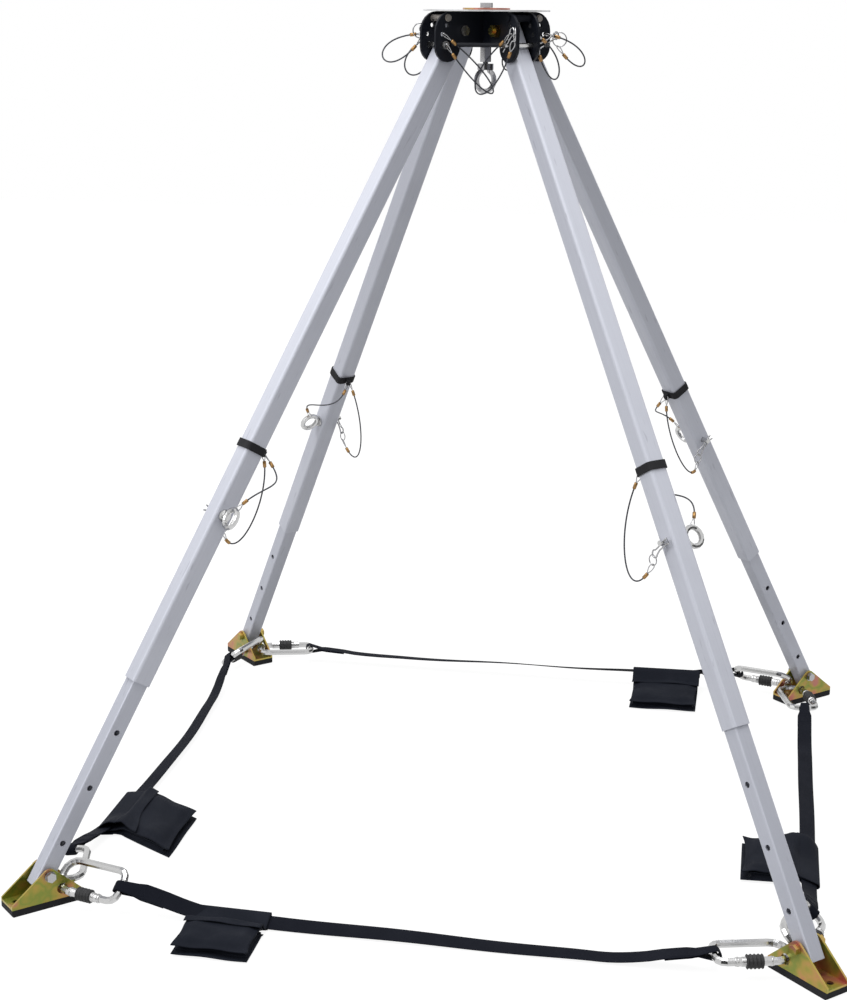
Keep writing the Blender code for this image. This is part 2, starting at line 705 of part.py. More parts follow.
def carabiner(kind):
    """Screw-gate link: round bar with a gate barrel and a locking sleeve on one long side."""
    points = [(x, y, 0) for x, y in link_outline()]
    bar = tube_along(points, ROD_D, cyclic=True)
    side = -LINK_WIDTH / 2
    half = GATE_LENGTH / 2
    middle = LINK_LENGTH / 2
    barrel = span("x", middle - half, middle + half, (side, 0), GATE_D, SMALL_ROUND)
    sleeve = span("x", middle - SLEEVE_LENGTH / 2, middle + SLEEVE_LENGTH / 2, (side, 0), SLEEVE_D, 12)
    link = join(bar, barrel, sleeve)
    return move(link, link_matrix(kind))


def leg_matrix(angle):
    """World place of a leg frame at the ankle, level with the ground."""
    turn = Matrix.Rotation(math.radians(angle), 4, "Z")
    return turn @ Matrix.Translation((ANKLE_RADIUS, 0, ANKLE_HEIGHT))


def strap_end(kind, angle):
    """World frame of a link's far end: X on along the strap, Y along the rod there."""
    turn = leg_matrix(angle) @ link_matrix(kind)
    origin = turn @ Vector((LINK_LENGTH, 0, 0))
    rod = (turn.to_3x3() @ Vector((0, 1, 0))).normalized()
    return origin, rod


def strap_outline(length):
    """Side view of a strap along X: a loop round the rod at each end and one layer between.

    It returns the outer outline and the two loop holes.
    """
    bore = ROD_D / 2 + WEB_PLAY
    slack = 0.0012
    reach = WEB_LOOP
    outer = []
    holes = []
    for end, flip in ((0.0, 1), (length, -1)):
        centre = end - flip * slack
        turns = arc((0, 0), 1.0, 100, 260, 6)
        rim = [(centre + flip * x * (bore + WEB_T), y * (bore + WEB_T)) for x, y in turns]
        inner = [(centre + flip * x * bore, y * bore) for x, y in turns]
        neck = end + flip * reach
        tail = end + flip * (reach + WEB_SEWN)
        loop = [(tail, WEB_T / 2), (neck, WEB_T), *rim, (neck, -WEB_T), (tail, -WEB_T / 2)]
        outer += loop if flip == 1 else [(x, -y) for x, y in loop]
        holes.append([(neck - flip * 0.004, 0.0002), *inner, (neck - flip * 0.004, -0.0002)])
    return [outer, *holes]


def strap(side_name):
    """Webbing between the far ends of two links, turned evenly from one rod to the other."""
    course = strap_course(side_name)
    length = (course[1] - course[0]).length
    webbing = plate(strap_outline(length), WEB_WIDTH)
    bm = bmesh.new()
    bm.from_mesh(webbing.data)
    for share in [i / 12 for i in range(1, 12)]:
        everything = list(bm.verts) + list(bm.edges) + list(bm.faces)
        bmesh.ops.bisect_plane(bm, geom=everything, plane_co=(share * length, 0, 0), plane_no=(1, 0, 0))
    for vert in bm.verts:
        from_end = min(vert.co.x, length - vert.co.x)
        spread = min(max((from_end - WEB_LOOP / 2) / WEB_LOOP, 0.0), 1.0)
        width = WEB_GATHERED + (1 - WEB_GATHERED) * spread
        vert.co = strap_point(course, vert.co.x, vert.co.z * width, vert.co.y)
    face_out(bm)
    bm.to_mesh(webbing.data)
    bm.free()
    return webbing


def strap_course(side_name):
    """Ends of a strap and the directions of the two rods that it is looped round."""
    first = SIDES[side_name]
    order = list(LEGS)
    second = order[(order.index(first) + 1) % 4]
    start, rod_a = strap_end("a", LEGS[first])
    stop, rod_b = strap_end("b", LEGS[second])
    if rod_a.dot(rod_b) < 0:
        rod_b = -rod_b
    return start, stop, rod_a, rod_b


def strap_point(course, along_by, across_by, out_by):
    """World place of a point in the strap's own twisted coordinates."""
    start, stop, rod_a, rod_b = course
    length = (stop - start).length
    along = (stop - start).normalized()
    share = min(max((along_by - WEB_LOOP) / (length - 2 * WEB_LOOP), 0.0), 1.0)
    across = rod_a.lerp(rod_b, share).normalized()
    out = along.cross(across).normalized()
    if out.z < 0:
        out = -out
    return start + along * along_by + across * across_by + out * out_by


def pouch_outline(height, tilt):
    """Section of a pouch about the webbing, and the tunnel that the webbing runs through.

    X is level, toward the body, and Y is up. Near the webbing the section has the webbing's tilt.
    """
    wide = WEB_WIDTH / 2 + POUCH_PLAY
    thick = WEB_T / 2 + POUCH_PLAY
    low = POUCH_LIFT - height
    top = low + POUCH_T
    outer = [
        (-wide - FLAP_T, -thick - FLAP_T),
        (wide, -thick - FLAP_T),
        (wide + POUCH_BLEND, low),
        (POUCH_DEPTH, low),
        (POUCH_DEPTH + 0.002, low + POUCH_T * 0.5),
        (POUCH_DEPTH, top),
        (FLAP_DEPTH + 0.006, top + 0.002),
        (FLAP_DEPTH, top + 0.002),
        (FLAP_DEPTH, top + 0.002 + FLAP_T),
        (wide + 0.006, thick + FLAP_T),
        (wide, thick + FLAP_T),
        (-wide - FLAP_T, thick + FLAP_T),
    ]
    tunnel = [(-wide, -thick), (wide, -thick), (wide, thick), (-wide, thick)]
    placed = []
    for points in (outer, tunnel):
        turned = []
        for x, y in points:
            away = min(max(x - wide, 0.0) / POUCH_BLEND, 1.0)
            angle = tilt * (1 - away)
            across, up = math.cos(angle), math.sin(angle)
            turned.append((x * across - y * up, x * up + y * across))
        placed.append(turned)
    return placed


def pouch(side_name):
    """Flat fabric pocket with a sleeve on the webbing and a body that lies on the ground."""
    share, way, swing = POUCHES[side_name]
    course = strap_course(side_name)
    start, stop, rod_a, rod_b = course
    middle = share * (stop - start).length
    centre = strap_point(course, middle, 0, 0)
    along = (stop - start).normalized()
    level = Vector((along.x, along.y, 0)).normalized()
    outward = Vector((level.y, -level.x, 0)) * way
    across = strap_point(course, middle, 1, 0) - centre
    if across.dot(outward) < 0:
        across = -across
    body = plate(pouch_outline(centre.z, math.atan2(across.z, across.dot(outward))), POUCH_LENGTH)
    for vert in body.data.vertices:
        out_by, up, along_by = vert.co
        lean = swing * max(out_by - WEB_WIDTH, 0.0)
        vert.co = centre + along * (along_by + lean) + outward * out_by + Vector((0, 0, up))
    bm = bmesh.new()
    bm.from_mesh(body.data)
    face_out(bm)
    bm.to_mesh(body.data)
    bm.free()
    return body


def build_leg(name, angle):
    """All pieces of one leg and its foot."""
    turn = Matrix.Rotation(math.radians(angle), 4, "Z")
    lean = Matrix.Rotation(-SPLAY, 4, "Y")
    hinge = empty("hinge_" + name, turn @ Matrix.Translation((PIVOT_RADIUS, 0, HEAD_Z)) @ lean)
    ankle = empty("ankle_" + name, leg_matrix(angle))
    for label, mat in (("upper_tube", ALUMINIUM), ("lower_tube", INNER_ALUMINIUM), ("band", RUBBER),
                       ("eye_pin", STEEL), ("lock_pin", STEEL), ("pivot_bolt", STEEL),
                       ("foot_bracket", CHROMATE), ("foot_pad", RUBBER), ("ankle_bolt", CHROMATE),
                       ("carabiner_a", STEEL), ("carabiner_b", STEEL)):
        mesh = SHAPES[label]
        obj = bpy.data.objects.new(label, mesh)
        PARTS.objects.link(obj)
        on_foot = label in ("foot_bracket", "foot_pad", "ankle_bolt", "carabiner_a", "carabiner_b")
        hold(obj, ankle if on_foot else hinge)
        finish(obj, label + "_" + name, mat)


def shared_mesh(label, maker, *arguments):
    """Make a shape once and keep its mesh for all four legs."""
    obj = maker(*arguments)
    mesh = obj.data
    mesh.use_fake_user = True
    SHAPES[label] = mesh
    bpy.data.objects.remove(obj)


SHAPES = {}
for shape_name, shape_maker in (("upper_tube", upper_tube), ("lower_tube", lower_tube), ("band", band),
                                ("eye_pin", eye_pin), ("lock_pin", lock_pin), ("pivot_bolt", pivot_bolt),
                                ("foot_bracket", foot_bracket), ("foot_pad", foot_pad),
                                ("ankle_bolt", ankle_bolt)):
    shared_mesh(shape_name, shape_maker)
shared_mesh("carabiner_a", carabiner, "a")
shared_mesh("carabiner_b", carabiner, "b")

for leg_name, leg_angle in LEGS.items():
    build_leg(leg_name, leg_angle)

head = empty("head_centre", Matrix.Translation((0, 0, HEAD_Z)))
hold(finish(head_frame(), "head_frame", BLACK_STEEL), head)
hold(finish(disc(HEAD_TOP + GAP, DISC_T, DISC_D, 48), "top_plate", PAINT), head)
hold(finish(disc(HEAD_TOP + DISC_T + 2 * GAP, WASHER_T, WASHER_D, 32), "top_washer", CHROMATE), head)
hold(finish(centre_bolt(), "centre_bolt", STEEL), head)
eye = finish(swivel_eye(), "swivel_eye", STEEL)
eye.rotation_euler.z = math.radians(EYE_TURN_DEG)
hold(eye, head)

for strap_side in SIDES:
    finish(strap(strap_side), "strap_" + strap_side, WEBBING)
    finish(pouch(strap_side), "pouch_" + strap_side, FABRIC)



def stand_on_origin():
    """Move everything level, so that the middle of the outline is over the origin."""
    bpy.context.view_layer.update()
    points = []
    for obj in PARTS.objects:
        if obj.type == "MESH":
            points += [obj.matrix_world @ vert.co for vert in obj.data.vertices]
    for axis in (0, 1):
        ends = [point[axis] for point in points]
        shift = -(min(ends) + max(ends)) / 2
        for obj in PARTS.objects:
            if obj.parent is None:
                obj.location[axis] += shift
    bpy.context.view_layer.update()


stand_on_origin()
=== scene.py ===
# %% [markdown]
# # A rescue quadpod
# Four telescopic legs meet in a black steel head. Each leg stands in a folded, chromated foot.
# Screw links and webbing tie the feet to one another, and each webbing carries a flat pouch.
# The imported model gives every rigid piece. This script gives the finishes and what is soft or thin.

# %% Load the frame
import math
import bpy
import bmesh
import numpy as np
from mathutils import Matrix, Vector


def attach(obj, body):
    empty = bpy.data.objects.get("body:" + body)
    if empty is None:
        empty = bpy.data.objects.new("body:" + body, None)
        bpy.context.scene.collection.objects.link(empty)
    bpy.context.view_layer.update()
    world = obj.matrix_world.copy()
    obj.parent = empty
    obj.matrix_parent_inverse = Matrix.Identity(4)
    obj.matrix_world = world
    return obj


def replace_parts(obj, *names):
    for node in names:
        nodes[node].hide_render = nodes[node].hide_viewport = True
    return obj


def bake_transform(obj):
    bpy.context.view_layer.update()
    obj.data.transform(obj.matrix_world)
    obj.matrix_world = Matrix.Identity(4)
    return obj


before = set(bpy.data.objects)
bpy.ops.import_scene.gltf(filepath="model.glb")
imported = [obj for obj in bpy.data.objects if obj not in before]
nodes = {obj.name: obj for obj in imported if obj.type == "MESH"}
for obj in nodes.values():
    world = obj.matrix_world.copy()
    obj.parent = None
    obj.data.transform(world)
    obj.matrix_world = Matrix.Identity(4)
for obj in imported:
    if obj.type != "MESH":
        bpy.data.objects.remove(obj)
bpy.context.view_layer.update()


def add(name, data):
    """A new object with its data, in the scene."""
    made = bpy.data.objects.new(name, data)
    bpy.context.scene.collection.objects.link(made)
    return made


# %% [markdown]
# The camera stands where the photograph was taken: a long lens, low and a little to the right,
# looking down at the feet. Its place was worked out from the tubes and the corners of the feet.

# %% Camera
YAW, PITCH, ROLL = (math.radians(a) for a in (-10.641, 14.709, 0.514))
FOCAL_LENGTH, FRAME_HEIGHT = 66.705, 36.0  # millimetres
CAMERA_PLACE = (0.4376, -2.7607, 1.2288)
forward = Vector((math.sin(YAW) * math.cos(PITCH), math.cos(YAW) * math.cos(PITCH), -math.sin(PITCH)))
level_right = Vector((math.cos(YAW), -math.sin(YAW), 0))
level_up = level_right.cross(forward)
right = level_right * math.cos(ROLL) + level_up * math.sin(ROLL)
up = right.cross(forward)
lens = bpy.data.cameras.new("camera")
lens.lens, lens.sensor_fit, lens.sensor_height = FOCAL_LENGTH, "VERTICAL", FRAME_HEIGHT
camera = add("camera", lens)
camera.matrix_world = Matrix.Translation(CAMERA_PLACE) @ Matrix(
    (right, up, -forward)).transposed().to_4x4()
bpy.context.scene.camera = camera
bpy.context.scene.view_settings.view_transform = "Standard"
print("camera lens", lens.lens, "mm")

# %% [markdown]
# ## Shader maths
# A finish is a sum of small ideas: a grain, a scratch, a patch. One class wraps a node's output,
# so that these ideas are written as sums and products, and each sum adds its Math node.

# %% A socket that can be calculated with
class Shade:
    """An output socket. Sums, differences and products of it are Math nodes."""

    def __init__(self, finish, socket):
        self.finish, self.socket = finish, socket

    def math(self, operation, a, b=0.0, c=0.0):
        return self.finish.node("ShaderNodeMath", {"operation": operation}, {0: a, 1: b, 2: c})

    def __add__(self, other):
        return self.math("ADD", self, other)

    def __sub__(self, other):
        return self.math("SUBTRACT", self, other)

    def __rsub__(self, other):
        return self.math("SUBTRACT", other, self)

    def __mul__(self, other):
        return self.math("MULTIPLY", self, other)

    __radd__ = __add__
    __rmul__ = __mul__

    def step(self, low, high):
        """0 below low, 1 above high, and straight between."""
        return self.finish.node("ShaderNodeMapRange", {}, {0: self, 1: low, 2: high})

    def size(self):
        return self.math("ABSOLUTE", self)

    def wave(self):
        return self.math("SINE", self)


print("made Shade")

# %% [markdown]
# A finish owns one material. Its fixed values stand on the shader, and its methods add the nodes
# that vary the colour, roughness, metal and relief.

# %% A finish
class Finish:
    """A material: its shader with fixed values, and the nodes that vary it."""

    def __init__(self, name, **fixed):
        self.material = bpy.data.materials.new(name)
        self.material.use_nodes = True
        self.tree = self.material.node_tree
        self.shader = self.tree.nodes["Principled BSDF"]
        for word, value in fixed.items():
            self.shader.inputs[word.replace("_", " ")].default_value = value
        self.place = self.node("ShaderNodeTexCoord", out="Object")

    def node(self, kind, settings=None, inputs=None, out=0):
        """A new node with its settings and inputs, as one of its outputs."""
        made = self.tree.nodes.new(kind)
        for word, value in (settings or {}).items():
            if word == "stops":
                stops = made.color_ramp.elements
                while len(stops) < len(value):
                    stops.new(1.0)
                for stop, (at, colour) in zip(stops, value):
                    stop.position, stop.color = at, (*colour, 1)
            else:
                setattr(made, word, value)
        for word, value in (inputs or {}).items():
            if isinstance(value, Shade):
                self.tree.links.new(value.socket, made.inputs[word])
            else:
                made.inputs[word].default_value = value
        return Shade(self, made.outputs[out])

    def noise(self, scale, detail, where=None):
        """Noise with scale patches in a metre."""
        return self.node("ShaderNodeTexNoise", {}, {
            "Vector": where or self.place, "Scale": scale, "Detail": detail})

    def stretch(self, where, by):
        """A place scaled on each axis, so that a noise read there is squeezed as much."""
        return self.node("ShaderNodeVectorMath", {"operation": "MULTIPLY"}, {0: where, 1: by})

    def part(self, where, letter):
        return self.node("ShaderNodeSeparateXYZ", {}, {0: where}, letter)

    def ramp(self, value, stops):
        return self.node("ShaderNodeValToRGB", {"stops": stops}, {0: value})

    def mix(self, share, one, other):
        """One colour at share 0, the other at share 1."""
        one, other = ((*c, 1) if isinstance(c, tuple) else c for c in (one, other))
        return self.node("ShaderNodeMix", {"data_type": "RGBA"}, {0: share, 6: one, 7: other}, 2)

    def feed(self, word, value):
        """A shader input that follows a value."""
        self.tree.links.new(value.socket, self.shader.inputs[word])
        return self

    def colour(self, value):
        return self.feed("Base Color", value)

    def rough(self, value):
        return self.feed("Roughness", value)

    def metal(self, value):
        return self.feed("Metallic", value)

    def bump(self, height, depth, strength):
        """Height from 0 to 1 is depth metres high."""
        made = self.node("ShaderNodeBump", {}, {
            "Height": height, "Distance": depth, "Strength": strength})
        return self.feed("Normal", made)


print("made Finish")

# %% [markdown]
# ## The leg's own frame
# A leg leans 31 degrees and is turned to its corner. Points on it are written as outward,
# sideways and up the leg from its hinge, and a matrix brings them to the row frame.

# %% Frames of the legs and feet
HEAD_Y = 0.0362625
LEG_LENGTH, SPLAY, PIVOT_RADIUS, ANKLE_HEIGHT = 1.350, math.radians(31.0), 0.055, 0.048
HEAD_Z = ANKLE_HEIGHT + LEG_LENGTH * math.cos(SPLAY)
ANKLE_RADIUS = PIVOT_RADIUS + LEG_LENGTH * math.sin(SPLAY)
LEGS = {"fl": -135.0, "fr": -45.0, "br": 45.0, "bl": 135.0}
SIDES = {"front": "fl", "right": "fr", "back": "br", "left": "bl"}


def corner_turn(leg):
    """Moves to the head's axis and turns to a leg's corner."""
    return Matrix.Translation((0, HEAD_Y, 0)) @ Matrix.Rotation(math.radians(LEGS[leg]), 4, "Z")


HEAD_FRAME = {k: corner_turn(k) @ Matrix.Translation((0, 0, HEAD_Z)) for k in LEGS}
LEG_FRAME = {
    k: corner_turn(k) @ Matrix.Translation((PIVOT_RADIUS, 0, HEAD_Z)) @ Matrix.Rotation(-SPLAY, 4, "Y")
    for k in LEGS}
FOOT_FRAME = {k: corner_turn(k) @ Matrix.Translation((ANKLE_RADIUS, 0, ANKLE_HEIGHT)) for k in LEGS}
print("ankle radius", round(ANKLE_RADIUS, 4), "hinge height", round(HEAD_Z, 4))

# %% [markdown]
# ## Anodised tubes
# The legs are drawn aluminium with a satin, faintly lilac anodised skin. Drawing leaves very fine
# lines along the tube, so the grain is a noise squeezed across the leg and stretched along it.
# Handling leaves soft grey rubs.


# %% Tube finish
def anodised(name, leg, base, dark):
    """Satin metal: base colour less a little along the drawing lines and in soft rubs."""
    made = Finish(name, Metallic=0.22)
    turn = LEG_FRAME[leg].to_3x3().inverted().to_euler()
    along = made.node("ShaderNodeMapping", {}, {"Vector": made.place, "Rotation": tuple(turn)})
    lines = made.noise(1.0, 2.0, made.stretch(along, (700.0, 700.0, 5.0)))
    rubs = made.noise(9.0, 5.0).step(0.52, 0.75)
    nicks = made.noise(1.0, 1.0, made.stretch(along, (160.0, 160.0, 30.0))).step(0.70, 0.78)
    share = lines * 0.28 + rubs * 0.16 + nicks * 0.45
    made.colour(made.mix(share, base, dark))
    made.rough(0.33 + lines * 0.10 + rubs * 0.08)
    return made.bump(lines, 0.00004, 0.5)


TUBES = {k: anodised("anodised_" + k, k, (0.66, 0.68, 0.76), (0.42, 0.43, 0.50)) for k in LEGS}
INNER = {k: anodised("inner_" + k, k, (0.60, 0.62, 0.70), (0.38, 0.39, 0.45)) for k in LEGS}
print("tube finishes", len(TUBES) + len(INNER))

# %% [markdown]
# ## Steel, chromate, powder coat and rubber
# Bolts, links and pins are bright steel with fine cross scratches. The feet are plated in yellow
# chromate, a skin so thin that its colour wanders from green-gold to pink and violet like oil on
# water: a slow noise and the height pick the place on a colour ramp. The head is powder coated, which dries
# with a fine orange peel, and its riveted spacers show bare metal inside the ears.


# %% Metals
def steel(name, base, rough=0.20):
    """Bright metal, dulled by fine scratches in two directions."""
    made = Finish(name, Metallic=1.0)
    one = made.noise(1.0, 2.0, made.stretch(made.place, (60.0, 900.0, 900.0)))
    other = made.noise(1.0, 2.0, made.stretch(made.place, (900.0, 70.0, 500.0)))
    grime = made.noise(60.0, 3.0).step(0.55, 0.8)
    dark = tuple(0.55 * c for c in base)
    made.colour(made.mix(grime * 0.30 + one * 0.06, base, dark))
    made.rough(rough + one * 0.05 + other * 0.04 + grime * 0.10)
    return made.bump(one + other, 0.000005, 0.15)


STEEL = steel("bright_steel", (0.40, 0.40, 0.41), 0.16)
LINK = steel("link_steel", (0.55, 0.55, 0.55), 0.17)
BRASS = steel("ferrule_copper", (0.36, 0.21, 0.085), 0.36)


def sideways(made, vector, leg):
    """How far a vector goes sideways from a leg's middle plane."""
    turn = math.radians(LEGS[leg])
    return made.node("ShaderNodeVectorMath", {"operation": "DOT_PRODUCT"}, {
        0: vector, 1: (-math.sin(turn), math.cos(turn), 0.0)}, "Value")


def chromate(name, leg):
    """Iridescent plating: a colour ramp read by slow noise and height; cut edges are yellow."""
    made = Finish(name, Metallic=0.72, Coat_Weight=0.25, Coat_Roughness=0.2)
    slow = made.noise(24.0, 2.0)
    small = made.noise(85.0, 3.0)
    height = made.part(made.place, "Z")
    film = slow * 1.35 + small * 0.16 + height * 2.6 - 0.28
    colour = made.ramp(film, [
        (0.20, (0.42, 0.11, 0.09)), (0.30, (0.46, 0.17, 0.10)), (0.40, (0.46, 0.26, 0.07)),
        (0.50, (0.36, 0.28, 0.045)), (0.60, (0.21, 0.25, 0.035)), (0.70, (0.36, 0.27, 0.045)),
        (0.84, (0.44, 0.17, 0.12))])
    normal = made.node("ShaderNodeNewGeometry", out="Normal")
    aside, level = sideways(made, normal, leg).size(), made.part(normal, "Z").size()
    edge = (1 - aside.step(0.2, 0.4)) * (1 - level.step(0.9, 0.96))
    made.colour(made.mix(edge * 0.6, colour, (0.52, 0.40, 0.09)))
    made.rough(0.30 + small * 0.14)
    return made.bump(made.noise(500.0, 2.0), 0.00003, 0.5)


CHROMATE = {k: chromate("chromate_" + k, k) for k in LEGS}
WASHER = chromate("chromate_washer", "fl")


def pivot_steel(leg):
    """Bright bolt whose nut, past the ear on the clockwise side of the leg, is plated yellow."""
    made = steel("pivot_bolt_" + leg, (0.50, 0.50, 0.51))
    aside = sideways(made, made.place, leg) - HEAD_Y * math.cos(math.radians(LEGS[leg]))
    plated = made.ramp(made.noise(90.0, 2.0), [
        (0.35, (0.42, 0.20, 0.08)), (0.5, (0.44, 0.34, 0.10)), (0.65, (0.24, 0.26, 0.10))])
    plain = made.mix(made.noise(150.0, 4.0), (0.56, 0.56, 0.57), (0.34, 0.34, 0.35))
    return made.colour(made.mix(1 - aside.step(-NUT_SIDE, -NUT_SIDE + 0.0005), plain, plated))


NUT_SIDE = 0.0205
PIVOTS = {k: pivot_steel(k) for k in LEGS}
print("metals", len(bpy.data.materials))

# %% Coats and rubber
paint = Finish("pale_paint", Metallic=0.25)
rub = paint.noise(1.0, 3.0, paint.stretch(paint.place, (40.0, 400.0, 100.0)))
paint.colour(paint.mix(rub * 0.3, (0.80, 0.81, 0.82), (0.60, 0.61, 0.62)))
paint.rough(0.30 + rub * 0.14).bump(rub, 0.00002, 0.5)

SPACER_OUT, SPACER_UP = 0.0830, 0.0180  # the riveted spacers' axes, from the hinge's height
coat = Finish("powder_coat", Specular_IOR_Level=0.22)
turned = coat.node("ShaderNodeMapping", {}, {
    "Vector": coat.place, "Location": (-HEAD_Y * math.sqrt(0.5), -HEAD_Y * math.sqrt(0.5), -HEAD_Z),
    "Rotation": (0.0, 0.0, math.radians(45.0))})
across, deep = (coat.part(turned, letter).size() for letter in "XY")
reach = across.math("MAXIMUM", across, deep) - SPACER_OUT
rise = coat.part(turned, "Z") - SPACER_UP
bare = 1 - (reach * reach + rise * rise).step(0.0000262, 0.0000290)
peel = coat.noise(650.0, 2.0)
wear = coat.noise(40.0, 5.0).step(0.62, 0.80)
coat.colour(coat.mix(bare, coat.mix(wear, (0.0060, 0.0075, 0.0125), (0.016, 0.018, 0.026)),
                     (0.46, 0.43, 0.40)))
coat.rough(0.36 + peel * 0.12 + wear * 0.16).metal(bare * 0.95)
coat.bump(peel, 0.00008, 0.5)

rubber = Finish("black_rubber", Specular_IOR_Level=0.2)
dust = rubber.noise(60.0, 6.0)
rubber.colour(rubber.mix(dust, (0.010, 0.010, 0.012), (0.030, 0.030, 0.033)))
rubber.rough(0.62 + dust * 0.2).bump(rubber.noise(900.0, 3.0), 0.0001, 0.6)
print("with coats", len(bpy.data.materials))

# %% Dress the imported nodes
PLATED_BOLTS = ("fr", "bl")
chosen = {"head_frame": coat, "top_plate": paint, "top_washer": WASHER, "centre_bolt": STEEL,
          "swivel_eye": STEEL}
BY_LEG = {"upper_tube": TUBES, "lower_tube": INNER, "foot_bracket": CHROMATE, "band": rubber,
          "foot_pad": rubber, "eye_pin": LINK, "lock_pin": LINK, "pivot_bolt": PIVOTS,
          "ankle_bolt": {k: CHROMATE[k] if k in PLATED_BOLTS else STEEL for k in LEGS},
          "carabiner_a": LINK, "carabiner_b": LINK}
for kind, made in BY_LEG.items():
    chosen.update({f"{kind}_{k}": made[k] if isinstance(made, dict) else made for k in LEGS})
for node, made in chosen.items():
    nodes[node].data.materials.clear()
    nodes[node].data.materials.append(made.material)
print("dressed", len(chosen), "nodes")

# %% [markdown]
# ## Fabrics
# Webbing is woven in narrow ribs, so its bump follows the piece's own map: a rib every two
# millimetres across and a finer one along. The pouches are a plain weave of nylon, twice as fine,
# with grey dust where hands and floor have rubbed them. The sleeves are moulded plastic, and the
# cables' coat shows the strands inside it.


# %% Woven finishes
def woven(name, base, dusty, rib, pick, depth):
    """Two sets of ribs across one another, rib and pick metres apart, with dusty patches."""
    made = Finish(name, Specular_IOR_Level=0.10)
    chart = made.node("ShaderNodeUVMap", {"uv_map": "UVMap"})
    along = (made.part(chart, "X") * (2 * math.pi / pick)).wave()
    over = (made.part(chart, "Y") * (2 * math.pi / rib)).wave()
    weave = along * over * 0.5 + 0.5
    soft = made.noise(22.0, 5.0).step(0.45, 0.75)
    fluff = made.noise(260.0, 4.0).step(0.60, 0.85)
    made.colour(made.mix(soft * 0.6 + fluff * 0.25, base, dusty))
    made.rough(0.72 + weave * 0.12)
    return made.bump(weave, depth, 0.7)


WEBBING = woven("navy_webbing", (0.0048, 0.0060, 0.0110), (0.0095, 0.0110, 0.0175),
                rib=0.0022, pick=0.0016, depth=0.00025)
FABRIC = woven("navy_nylon", (0.0078, 0.0096, 0.0155), (0.0160, 0.0185, 0.0265),
               rib=0.0009, pick=0.0009, depth=0.00008)
THREAD = woven("dark_thread", (0.010, 0.012, 0.019), (0.02, 0.022, 0.03),
               rib=0.0009, pick=0.0009, depth=0.00005)
print("with fabrics", len(bpy.data.materials))

# %% Plastic and cable finishes
BLACK_PLASTIC = Finish("black_plastic", Specular_IOR_Level=0.3)
grain = BLACK_PLASTIC.noise(300.0, 4.0)
BLACK_PLASTIC.colour(BLACK_PLASTIC.mix(grain, (0.012, 0.012, 0.013), (0.050, 0.050, 0.052)))
BLACK_PLASTIC.rough(0.42 + grain * 0.25).bump(grain, 0.0001, 0.5)
CABLE = Finish("coated_cable", Specular_IOR_Level=0.5)
strands = (CABLE.part(CABLE.node("ShaderNodeUVMap", {"uv_map": "UVMap"}), "X") * 1500.0).wave()
CABLE.colour(CABLE.mix(strands * 0.5 + 0.5, (0.020, 0.022, 0.030), (0.045, 0.048, 0.062)))
CABLE.rough(0.36 + CABLE.noise(200.0, 3.0) * 0.2).bump(strands, 0.00005, 0.5)
print("with plastics", len(bpy.data.materials))

# %% [markdown]
# ## Surfaces from grids of points
# Every new piece is a grid of points: rows along it and columns round it. A grid that wraps
# gives a tube, a grid folded back on itself gives a cloth with two faces and a rounded rim.


# %% Grid tools
def grid(points, chart=None, wrap_rows=False):
    """Quads between neighbouring points; columns always wrap, rows wrap for a closed ring."""
    rows, columns = points.shape[:2]
    r = np.arange(rows if wrap_rows else rows - 1)[:, None]
    c = np.arange(columns)[None, :]
    r2, c2 = (r + 1) % rows, (c + 1) % columns
    quads = np.stack([r * columns + c, r * columns + c2, r2 * columns + c2, r2 * columns + c], -1)
    if chart is None:
        chart = np.stack(np.meshgrid(np.arange(rows), np.arange(columns), indexing="ij"), -1) * 0.001
    flat = points.reshape(-1, 3)
    quads = quads.reshape(-1, 4)
    a, b, d = flat[quads[:, 0]], flat[quads[:, 1]], flat[quads[:, 2]]
    volume = np.einsum("ij,ij->i", a - flat.mean(0), np.cross(b - a, d - a)).sum()
    return flat, quads[:, ::-1] if volume < 0 else quads, chart.reshape(-1, 2)


def closed(points, chart=None):
    """The same grid with a pole at each end, so that it has no opening."""
    first, last = points[:1].mean(1, keepdims=True), points[-1:].mean(1, keepdims=True)
    wide = np.ones((1, points.shape[1], 1))
    if chart is not None:
        chart = np.concatenate([chart[:1], chart, chart[-1:]])
    return grid(np.concatenate([first * wide, points, last * wide]), chart)


def piece(name, grids, finish, body=None):
    """One smooth mesh of several grids, with its poles welded and its own map."""
    counts = np.cumsum([0] + [len(g[0]) for g in grids])
    points = np.concatenate([g[0] for g in grids])
    quads = np.concatenate([g[1] + start for g, start in zip(grids, counts)])
    chart = np.concatenate([g[2] for g in grids])
    mesh = bpy.data.meshes.new(name)
    mesh.from_pydata(points.tolist(), [], quads.tolist())
    layer = mesh.uv_layers.new(name="UVMap")
    layer.data.foreach_set("uv", chart[quads.reshape(-1)].astype(np.float32).reshape(-1))
    bm = bmesh.new()
    bm.from_mesh(mesh)
    bmesh.ops.remove_doubles(bm, verts=bm.verts, dist=0.000002)
    bmesh.ops.dissolve_degenerate(bm, dist=0.000001, edges=bm.edges)
    bm.to_mesh(mesh)
    bm.free()
    mesh.shade_smooth()
    mesh.materials.append(finish.material)
    made = add(name, mesh)
    if body:
        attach(made, body)
    return made


print("made grid, closed and piece")

# %% [markdown]
# Wires, cables and the ribbon all follow a line of points in space, so the line's tools come next.

# %% Lines and tubes
def run_along(path):
    """The distance from a path's start to each of its points."""
    return np.concatenate([[0], np.cumsum(np.linalg.norm(np.diff(path, axis=0), axis=1))])


def circle(count):
    """Angles once round."""
    return np.linspace(0, 2 * np.pi, count, endpoint=False)


def unit(v):
    """The same directions with length one, along the last axis."""
    v = np.asarray(v, float)
    return v / np.linalg.norm(v, axis=-1, keepdims=True)


